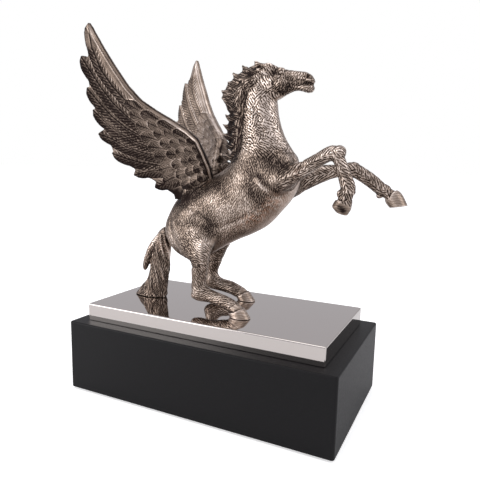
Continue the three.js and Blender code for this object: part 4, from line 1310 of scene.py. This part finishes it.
@dataclass
class Wing:
    """One wing: a cupped blade whose two faces are carved with the same feathers."""

    side: int
    voxel: float = 0.5
    thin: float = 0.8                   # half thickness of the blade, mm
    ground: float = 0.46                # tone of the flat blade
    rim: float = 1.9                    # width of the plain rim along the leading edge, mm
    barb: float = 2.7                   # barb to barb, mm: coarser than a real feather, as the casting has it
    covert_barb: float = 1.7            # the same on the coverts
    # leading edge: back, up and how far the blade bulges out there; then notches, root and the arm inside,
    # which has half widths and half thicknesses; then feathers from the tip, and the tips of the coverts
    leading: tuple[Point, ...] = (
        (3.9, -14, 2), (7.1, -0.4, 2), (10.7, 9.4, 3), (14.7, 18.9, 4.2), (21.1, 24.8, 5.2),
        (30.8, 31.4, 6.4), (39.8, 37.3, 8.4), (48.6, 43.7, 9.6), (56, 51.8, 8.8), (63.4, 62.6, 6.8),
        (70.2, 73.2, 4.2), (78.2, 87, 0.8))
    notches: tuple[tuple[float, float], ...] = (
        (82.1, 67.7), (83.6, 51.2), (81.1, 36.2), (75.8, 22.7), (72.7, 7.7), (59.7, -3.6), (46, -12.2),
        (30.0, -24.0))
    root: tuple[tuple[float, float], ...] = ((24, -30), (6, -32))
    arm: tuple[tuple[float, ...], ...] = (
        (16, -33, 13, 4.6), (16, -26, 13, 4.6), (15, -12, 12, 4.8), (16.5, 2, 10, 4.0), (19.7, 16.4, 6, 3),
        (33, 28.2, 4.4, 2.3), (41.7, 34.6, 3.8, 2.1), (50.5, 41.5, 3.4, 2), (58, 50.3, 3, 1.9),
        (65.2, 61.4, 2.7, 1.7), (71.5, 72.4, 2, 1.5), (77.6, 86, 1.2, 1.0))
    primaries: tuple[tuple[tuple[float, float], ...], ...] = (
        ((79.2, 87), (78.3, 72.7), (74.3, 60.9), (67.3, 51.1), (57.7, 41), (46.8, 32.3), (36, 24)),
        ((86.2, 68.3), (81.4, 59.3), (75.6, 50.2), (68.4, 40.8), (60, 32.9), (50.5, 26.5), (40, 20)),
        ((85.2, 49.4), (78.3, 40.7), (70.2, 31.9), (60.8, 24.6), (51.1, 19.7), (42.8, 16.5), (33, 13)),
        ((83.0, 35.6), (74.8, 27.7), (66.2, 21.1), (56.4, 16.2), (46.5, 12.1), (39.7, 10.5), (30, 8)),
        ((81.2, 20.2), (71.8, 16.8), (62, 11.8), (51.9, 8.5), (43.4, 7), (33, 5)),
        ((73.6, 7.2), (64.4, 3.9), (54.2, 1.4), (43.9, -0.1), (35.2, -0.8), (26, -1.5)),
        ((60.2, -8.0), (49.4, -4.7), (38.9, -3.6), (30.1, -2.5), (22, -2)),
        ((46.4, -17.0), (36.7, -12.7), (27.7, -7.9), (19.7, -4.1), (14, -2)),
        ((32.5, -25.0), (26, -18), (19, -11), (13, -6)))
    coverts: tuple[tuple[tuple[float, float], ...], ...] = (
        ((60, 42), (58, 35), (54.5, 28), (52, 20.5), (48, 13), (44.5, 6), (42.5, -3.5), (40, -12.5)),
        ((50, 36), (46.5, 29.5), (43.5, 23), (40, 16), (36.5, 8), (33.5, 0), (31, -8), (27, -16)),
        ((40, 30), (36.5, 24), (33.5, 17), (30, 10), (27, 3), (24, -4.5), (20.5, -12)),
        ((30.5, 24.5), (27, 19), (24, 12), (21.5, 5), (18.5, -2), (15.5, -9)),
        ((22, 19), (18.5, 14), (16, 8), (14, 2), (11.5, -4)))

    lobes: tuple[tuple[float, float], ...] = ((3.6, 8.4), (2.2, -0.4))     # ends of coverts past the left arm
    stretch: float = 1.035              # the left wing is drawn out a little taller

    def feathers(self) -> list[Feather]:
        """List the feathers, the lowest first."""
        longest, *others = self.primaries
        found = [Feather(line, 5.6, 0.0) for line in reversed(others)]
        found.append(Feather(longest, 4.3, 0.0, bare=13.0))
        for row, tips in enumerate(self.coverts):
            for back, up in reversed(tips):
                aim = np.array([back + 2.0, up - 3.0])
                aim /= np.linalg.norm(aim)
                tip = np.array([back, up])
                length, half, lift = 17 - 1.5 * row, 4.5 - 0.25 * row, 0.55 + 0.30 * row
                bend = tip - aim * length * 0.5 + np.array([0.5, 0.9])
                found.append(Feather(((back, up), tuple(bend), tuple(tip - aim * length)), half, lift, True))
        return found

    def blade(self) -> bpy.types.Mesh:
        """Cut the flat blank of the wing and melt it into an even skin."""
        clay = Clay()
        outline = [(back, up) for back, up, _ in self.leading] + [*self.notches, *self.root]
        corners = [clay.bm.verts.new((back, up, -1)) for back, up in outline]
        face = clay.bm.faces.new(corners)
        top = bmesh.ops.extrude_face_region(clay.bm, geom=[face])
        bmesh.ops.translate(clay.bm, vec=(0, 0, 2), verts=[part for part in top["geom"]
                                                           if isinstance(part, bmesh.types.BMVert)])
        bmesh.ops.triangulate(clay.bm, faces=clay.bm.faces[:])
        for back, up in self.lobes if self.side > 0 else ():
            clay.ball((back, up, 0), (6.8, 3.4, 1.6))
        for feather in self.feathers():
            if feather.covert:
                continue
            rows = eased(feather.line, 5)
            reach = np.concatenate([[0], np.cumsum(np.linalg.norm(np.diff(rows, axis=0), axis=1))])
            sections = []
            for k, row in enumerate(rows):
                ahead = rows[min(k + 1, len(rows) - 1)] - rows[max(k - 1, 0)]
                ahead /= np.linalg.norm(ahead)
                half = max(float(feather.width(reach[k:k + 1])[0]) - 0.3, 0.25)
                sections.append((Vector((*row, 0)), Vector((-ahead[1] * half, ahead[0] * half, 0)),
                                 Vector((0, 0, 1.15))))
            clay.loft(sections, 16)
        return clay.melt(self.voxel)

    def carve(self, spots: np.ndarray) -> tuple[np.ndarray, np.ndarray]:
        """Carve the feathers.

        Args:
            spots: back and up of each point.

        Returns:
            How far each point stands above the blade, mm, and how bright the tool has left it.
        """
        height = np.full(len(spots), -0.3)
        tone = np.zeros(len(spots))
        ragged = np.array([noise.noise(Vector((back, up, 3.0)) * 0.35) for back, up in spots])
        for feather in self.feathers():
            along, across = feather.measure(spots)
            wide = feather.width(along)
            inside = (along > 0) & (np.abs(across) < wide)
            share = across / np.maximum(wide, 0.3)
            shaft = bell(across, 0.40)
            edge = bell(wide - np.abs(across), 0.34 if feather.covert else 0.42)
            if feather.covert:
                edge = edge * (1 - smoothstep(4, 8, along))        # only the tip is rimmed
                slant = along + 0.9 * np.abs(across) + ragged
                barbs = 0.5 + 0.5 * np.cos(math.tau * slant / self.covert_barb)
                lie = feather.lift + 0.40 * (1 - share ** 2) + 0.26 * edge - 0.04 * np.clip(along, 0, 14)
                lie = lie + 0.10 * shaft * smoothstep(0, 2.5, along) - 0.22 * barbs * (1 - edge) * (1 - shaft)
                light = 0.16 * edge - 0.22 * barbs * (1 - shaft) * (1 - edge)
            else:
                slant = along + 1.15 * np.abs(across) + 0.5 * ragged
                barbs = (0.5 + 0.5 * np.cos(math.tau * slant / self.barb)) ** 1.5
                barbs *= smoothstep(feather.bare, feather.bare + 3, along) * (1 - shaft) * (1 - edge)
                lie = 0.42 * share + 0.30 * (1 - share ** 2) + 0.40 * shaft - 0.50 * barbs
                lie = lie + 0.16 * bell(wide - across, 0.45)
                light = 0.16 * shaft + 0.10 * edge - 0.52 * barbs + 0.14 * (1 - smoothstep(0, 3, along))
            raised = inside & (lie > height)
            height[raised] = lie[raised]
            tone[raised] = light[raised]
        return height, tone

    def swell(self, spots: np.ndarray) -> np.ndarray:
        """Work out the half thickness of the blade, which the arm fills out."""
        thick = np.full(len(spots), self.thin)
        for near, far in zip(self.arm[:-1], self.arm[1:]):
            gap, t = segment_gap(spots, np.array(near[:2]), np.array(far[:2]))
            half = near[2] + t * (far[2] - near[2])
            deep = near[3] + t * (far[3] - near[3])
            thick = np.maximum(thick, deep * np.sqrt(np.clip(1 - (gap / half) ** 2, 0, 1)))
        return thick

    def edge_gap(self, spots: np.ndarray) -> tuple[np.ndarray, np.ndarray, np.ndarray]:
        """Measure spots from the leading and the trailing edge.

        Args:
            spots: back and up of each point.

        Returns:
            The gap to the leading edge, how far that edge bulges out there, and the gap to the trailing edge.
        """
        lead = np.full(len(spots), np.inf)
        crown = np.zeros(len(spots))
        for near, far in zip(self.leading[:-1], self.leading[1:]):
            gap, t = segment_gap(spots, np.array(near[:2]), np.array(far[:2]))
            closer = gap < lead
            lead[closer] = gap[closer]
            crown[closer] = (near[2] + t * (far[2] - near[2]))[closer]
        trail = np.full(len(spots), np.inf)
        for near, far in zip(self.notches[:-1], self.notches[1:]):
            trail = np.minimum(trail, segment_gap(spots, np.array(near), np.array(far))[0])
        return lead, crown, trail

    def build(self) -> bpy.types.Object:
        """Make the wing with its tones.

        Returns:
            The finished wing.
        """
        skin = self.blade()
        flat, edges = mesh_arrays(skin)
        flat = relax(flat, edges, 2, 0.5)
        spots = flat[:, :2]
        height, tone = self.carve(spots)
        thick = spread(self.swell(spots), edges, 25)
        lead, crown, trail = self.edge_gap(spots)
        rim = 1 - smoothstep(self.rim, self.rim + 1.0, lead) * smoothstep(-18, -13, spots[:, 1])
        bead = bell(lead - self.rim, 0.5)
        bent = smoothstep(10, 34, spots[:, 1])                     # from the arm to the hand
        if self.side > 0:
            rim, bead = rim * bent, bead * bent                    # the left arm has no rim
        height = height * (1 - rim) + 0.1 * rim + 0.3 * bead * (0.3 + 0.7 * bent)
        height = height - 0.3 * bell(lead - self.rim - 1.3, 0.45)  # groove behind the rim
        bulge = spread(crown * np.clip(1 - lead / np.maximum(lead + trail, 1e-6), 0, 1) ** 1.2, edges, 40)
        out = bulge + flat[:, 2] * (thick + height)
        tall = np.array([1.0, self.stretch if self.side > 0 else 1.0])
        store(skin, WingPlane(self.side).place(np.column_stack([spots * tall, out])))
        if self.side > 0:
            skin.flip_normals()
        normals = normals_of(skin)
        points = mesh_arrays(skin)[0]
        # patina in the fine hollows and painted shade in the broad ones, as on the horse
        relief = self.ground + tone * (1 - rim) - shade(points, edges, normals, 7, 1.0, 0.4)
        # painted highlight along the plain rim and bead of the leading edge, fading towards the root
        along_edge = smoothstep(-14, -4, spots[:, 1]) * (0.15 + 0.85 * bent)
        relief = np.clip(relief + (0.18 * rim + 0.3 * bead) * along_edge, 0, 1)
        # painted shade: darker towards the root, where the wing meets the body
        paint(skin, relief, 0.35 * (1 - smoothstep(-22, -10, spots[:, 1])), np.zeros(len(points)))
        skin.transform(to_metres())
        skin.shade_smooth()
        LOG.info("wing %+d: %d points", self.side, len(points))
        return link(skin, "horse_right_wing" if self.side < 0 else "horse_left_wing")


# ---------------------------------------------------------------------------------------------------------
# the base
# ---------------------------------------------------------------------------------------------------------
@dataclass
class Base:
    """The lacquered block and the folded tray on it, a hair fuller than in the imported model."""

    block_edge: float = 1.1 * MM        # radius along the block's top and bottom
    block_corner: float = 1.8 * MM      # radius of its upright corners
    tray_fold: float = 1.1 * MM         # radius of the tray's folds
    sheet: float = 1.0 * MM             # thickness of its metal
    fuller: float = 0.9 * MM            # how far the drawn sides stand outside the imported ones

    @staticmethod
    def cuboid(node: str, right: float) -> bmesh.types.BMesh:
        """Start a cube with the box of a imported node, its sides standing out a little.

        Args:
            node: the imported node.
            right: how far the +X side stands out; the other three stand out by `fuller`.

        Returns:
            The cube, still open for editing.
        """
        low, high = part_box(node)
        low = low - Vector((Base.fuller, Base.fuller, 0))
        high = high + Vector((right, Base.fuller, 0))
        place = Matrix.Translation((low + high) / 2) @ Matrix.Diagonal((*(high - low), 1.0))
        bm = bmesh.new()
        bmesh.ops.create_cube(bm, size=1.0, matrix=place)
        return bm

    @staticmethod
    def rise(edge: bmesh.types.BMEdge) -> float:
        """Measure how far an edge climbs."""
        return abs((edge.verts[0].co - edge.verts[1].co).z)

    @staticmethod
    def round_edges(bm: bmesh.types.BMesh, edges: list[bmesh.types.BMEdge], radius: float,
                    segments: int) -> None:
        """Round some edges."""
        bmesh.ops.bevel(bm, geom=edges, offset=radius, offset_type="OFFSET", segments=segments, profile=0.5,
                        affect="EDGES", material=-1, clamp_overlap=True)

    @staticmethod
    def finish(bm: bmesh.types.BMesh, name: str) -> bpy.types.Object:
        """Make the piece, smooth on its rounds, with its faces in an order that is always the same."""
        bm.verts.index_update()
        points = [vert.co.copy() for vert in bm.verts]
        rings = [[vert.index for vert in face.verts] for face in bm.faces]
        bm.free()
        mesh = bpy.data.meshes.new(name)
        mesh.from_pydata(points, [], sorted(ring[ring.index(min(ring)):] + ring[:ring.index(min(ring))]
                                            for ring in rings))
        mesh.shade_smooth()
        mesh.set_sharp_from_angle(angle=math.radians(40))
        piece = link(mesh, name)
        weigh = piece.modifiers.new("even shading", "WEIGHTED_NORMAL")
        weigh.keep_sharp = True
        return piece

    def block(self) -> bpy.types.Object:
        """Make the block."""
        bm = self.cuboid("plinth_block", self.fuller)
        upright = [edge for edge in bm.edges if self.rise(edge) > self.block_corner]
        self.round_edges(bm, upright, self.block_corner, 8)
        level = [edge for edge in bm.edges if self.rise(edge) < 1e-6]
        self.round_edges(bm, level, self.block_edge, 6)
        return self.finish(bm, "lacquered_block")

    def tray(self) -> bpy.types.Object:
        """Make the tray: a shallow folded box, open underneath."""
        bm = self.cuboid("mirror_tray", 0.0)
        bottom = min(bm.faces, key=lambda face: face.calc_center_median().z)
        bmesh.ops.delete(bm, geom=[bottom], context="FACES_ONLY")
        folds = [edge for edge in bm.edges if not edge.is_boundary]
        self.round_edges(bm, folds, self.tray_fold, 6)
        bmesh.ops.solidify(bm, geom=bm.faces[:], thickness=self.sheet)
        return self.finish(bm, "folded_tray")


# ---------------------------------------------------------------------------------------------------------
# the studio
# ---------------------------------------------------------------------------------------------------------
@dataclass
class Studio:
    """Floor, soft lights and camera."""

    eye: Point = (153.84, -292.57, 158.52)
    azimuth: float = 26.18
    elevation: float = 8.49
    roll: float = 1.2
    lens: float = 35.963
    floor_size: float = 60.0
    floor_glow: float = 0.5             # light the floor gives off to the camera, so that it reads as white
    room_front: float = 0.66            # the room's light on the camera's side of the trophy
    room_back: float = 0.60             # on the far side
    room_top: float = 0.10              # what is added overhead
    # name, place, aimed at, width, height, power in watts
    lights: tuple[tuple, ...] = (
        ("window_left", (-0.75, -0.85, 0.42), (0, 0, 0.17), 0.6, 0.7, 5.0),
        ("window_right", (1.1, -0.10, 0.7), (0, 0, 0.13), 0.6, 0.8, 3),
        ("ceiling", (-0.2, -0.4, 1.5), (0, 0, 0.1), 1.0, 1.0, 4.6))

    def camera(self) -> None:
        """Set up the camera."""
        turn, tip, roll = (math.radians(angle) for angle in (self.azimuth, self.elevation, self.roll))
        back = Vector((math.sin(turn) * math.cos(tip), -math.cos(turn) * math.cos(tip), math.sin(tip)))
        level = Vector((math.cos(turn), math.sin(turn), 0))
        above = back.cross(level)
        right = math.cos(roll) * level + math.sin(roll) * above
        up = -math.sin(roll) * level + math.cos(roll) * above
        data = bpy.data.cameras.new("camera")
        data.lens = self.lens
        data.clip_start = 0.01
        camera = bpy.data.objects.new("camera", data)
        camera.matrix_world = Matrix.Translation(Vector(self.eye) * MM) @ \
            Matrix((right, up, back)).transposed().to_4x4()
        bpy.context.scene.collection.objects.link(camera)
        bpy.context.scene.camera = camera

    def light(self) -> None:
        """Hang the soft lights and paint the room."""
        for name, place, aim, width, height, power in self.lights:
            data = bpy.data.lights.new(name, "AREA")
            data.shape = "RECTANGLE"
            data.size, data.size_y, data.energy = width, height, power
            lamp = bpy.data.objects.new(name, data)
            away = (Vector(place) - Vector(aim)).normalized()
            lamp.matrix_world = Matrix.Translation(place) @ away.to_track_quat("Z", "Y").to_matrix().to_4x4()
            lamp.visible_camera = False
            bpy.context.scene.collection.objects.link(lamp)
        world = bpy.data.worlds.new("room")
        world.use_nodes = True
        bpy.context.scene.world = world
        tree = world.node_tree
        tree.nodes.clear()
        # a pale room: a little brighter in front of the trophy than behind it, and brighter still overhead
        view = add_node(tree, "ShaderNodeTexCoord").outputs["Generated"]
        way = add_node(tree, "ShaderNodeSeparateXYZ", {0: view})
        depth, above = (
            add_node(tree, "ShaderNodeMapRange", {"Value": way.outputs[axis], "From Min": start,
                                                  "From Max": end, "To Min": first, "To Max": last},
                     interpolation_type="SMOOTHSTEP").outputs[0]
            for axis, start, end, first, last in (("Y", -0.4, 0.7, self.room_front, self.room_back),
                                                  ("Z", 0.25, 0.8, 0.0, self.room_top)))
        bright = reckon(tree, "ADD", depth, above)
        path = add_node(tree, "ShaderNodeLightPath")
        room = add_node(tree, "ShaderNodeBackground", {"Color": linear("#fbfaff"), "Strength": bright})
        paper = add_node(tree, "ShaderNodeBackground", {"Color": (1, 1, 1, 1), "Strength": 1.0})
        both = add_node(tree, "ShaderNodeMixShader", {0: path.outputs["Is Camera Ray"], 1: room.outputs[0],
                                                      2: paper.outputs[0]})
        add_node(tree, "ShaderNodeOutputWorld", {"Surface": both.outputs[0]})
        bpy.context.scene.view_settings.view_transform = "Standard"

    def floor(self) -> None:
        """Lay the plain pale floor."""
        bm = bmesh.new()
        bmesh.ops.create_grid(bm, x_segments=1, y_segments=1, size=self.floor_size / 2)
        mesh = poured(bm, "floor")
        floor = link(mesh, "floor")
        paper = Grained("pale_floor_paper", "#ffffff", "#f8f8f8", 3.0, 0.9, bump=0.02).build()
        tree = paper.node_tree
        shader = tree.nodes["Principled BSDF"]
        seen = add_node(tree, "ShaderNodeLightPath").outputs["Is Camera Ray"]
        shader.inputs["Emission Color"].default_value = (1, 1, 1, 1)
        tree.links.new(reckon(tree, "MULTIPLY", seen, self.floor_glow), shader.inputs["Emission Strength"])
        mesh.materials.append(paper)

    def build(self) -> None:
        """Set the whole studio up."""
        self.camera()
        self.light()
        self.floor()


# ---------------------------------------------------------------------------------------------------------
# putting it together
# ---------------------------------------------------------------------------------------------------------
def settle(piece: bpy.types.Object, material: bpy.types.Material, slot: str, *nodes: str) -> None:
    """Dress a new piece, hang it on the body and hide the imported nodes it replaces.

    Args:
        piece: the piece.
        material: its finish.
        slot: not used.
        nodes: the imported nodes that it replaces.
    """
    piece.data.materials.clear()
    piece.data.materials.append(material)
    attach(piece, BODY)
    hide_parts(*nodes)
    LOG.info("%s replaces %s", piece.name, ", ".join(nodes))


def dress_kept_nodes() -> None:
    """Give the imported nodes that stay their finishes."""
    felt = Grained("pressed_felt", "#3b3d3a", "#161716", 0.9, 0.95, bump=0.8).build()
    board = Grained("raw_fibre_board", "#a98a63", "#7a5d3d", 0.8, 0.85, bump=0.4).build()
    zinc = Grained("bright_zinc_plate", "#cfd0cc", "#9d9f9c", 0.5, 0.34, metallic=1.0, bump=0.1).build()
    for name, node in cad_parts.items():
        kind = felt if name == "felt_pad" else board if name == "core_board" else zinc
        for slot in node.material_slots:
            slot.material = kind


def main() -> None:
    """Build the trophy."""
    logging.basicConfig(level=logging.INFO, format="%(message)s")
    Studio().build()
    dress_kept_nodes()
    base = Base()
    settle(base.block(), BlackLacquer().build(), "black_lacquer", "plinth_block")
    settle(base.tray(), BrightNickel().build(), "mirror_nickel", "mirror_tray")
    silver = AntiqueSilver().build()
    for name, piece in Foundry().cast().items():
        settle(piece, silver, "antique_silver", "body_casting" if name == "body" else name)
    # the near wing is painted darker as shade and the far wing paler as light, from the one silver
    near_wing = AntiqueSilver("antique_silver_wing_painted_shade", painted_darkening=0.13).build()
    far_wing = AntiqueSilver("antique_silver_wing_painted_light", painted_darkening=-0.11).build()
    settle(Wing(-1).build(), near_wing, "antique_silver_wing", "right_wing")
    settle(Wing(1).build(), far_wing, "antique_silver_wing", "left_wing")


if __name__ == "__main__":
    main()
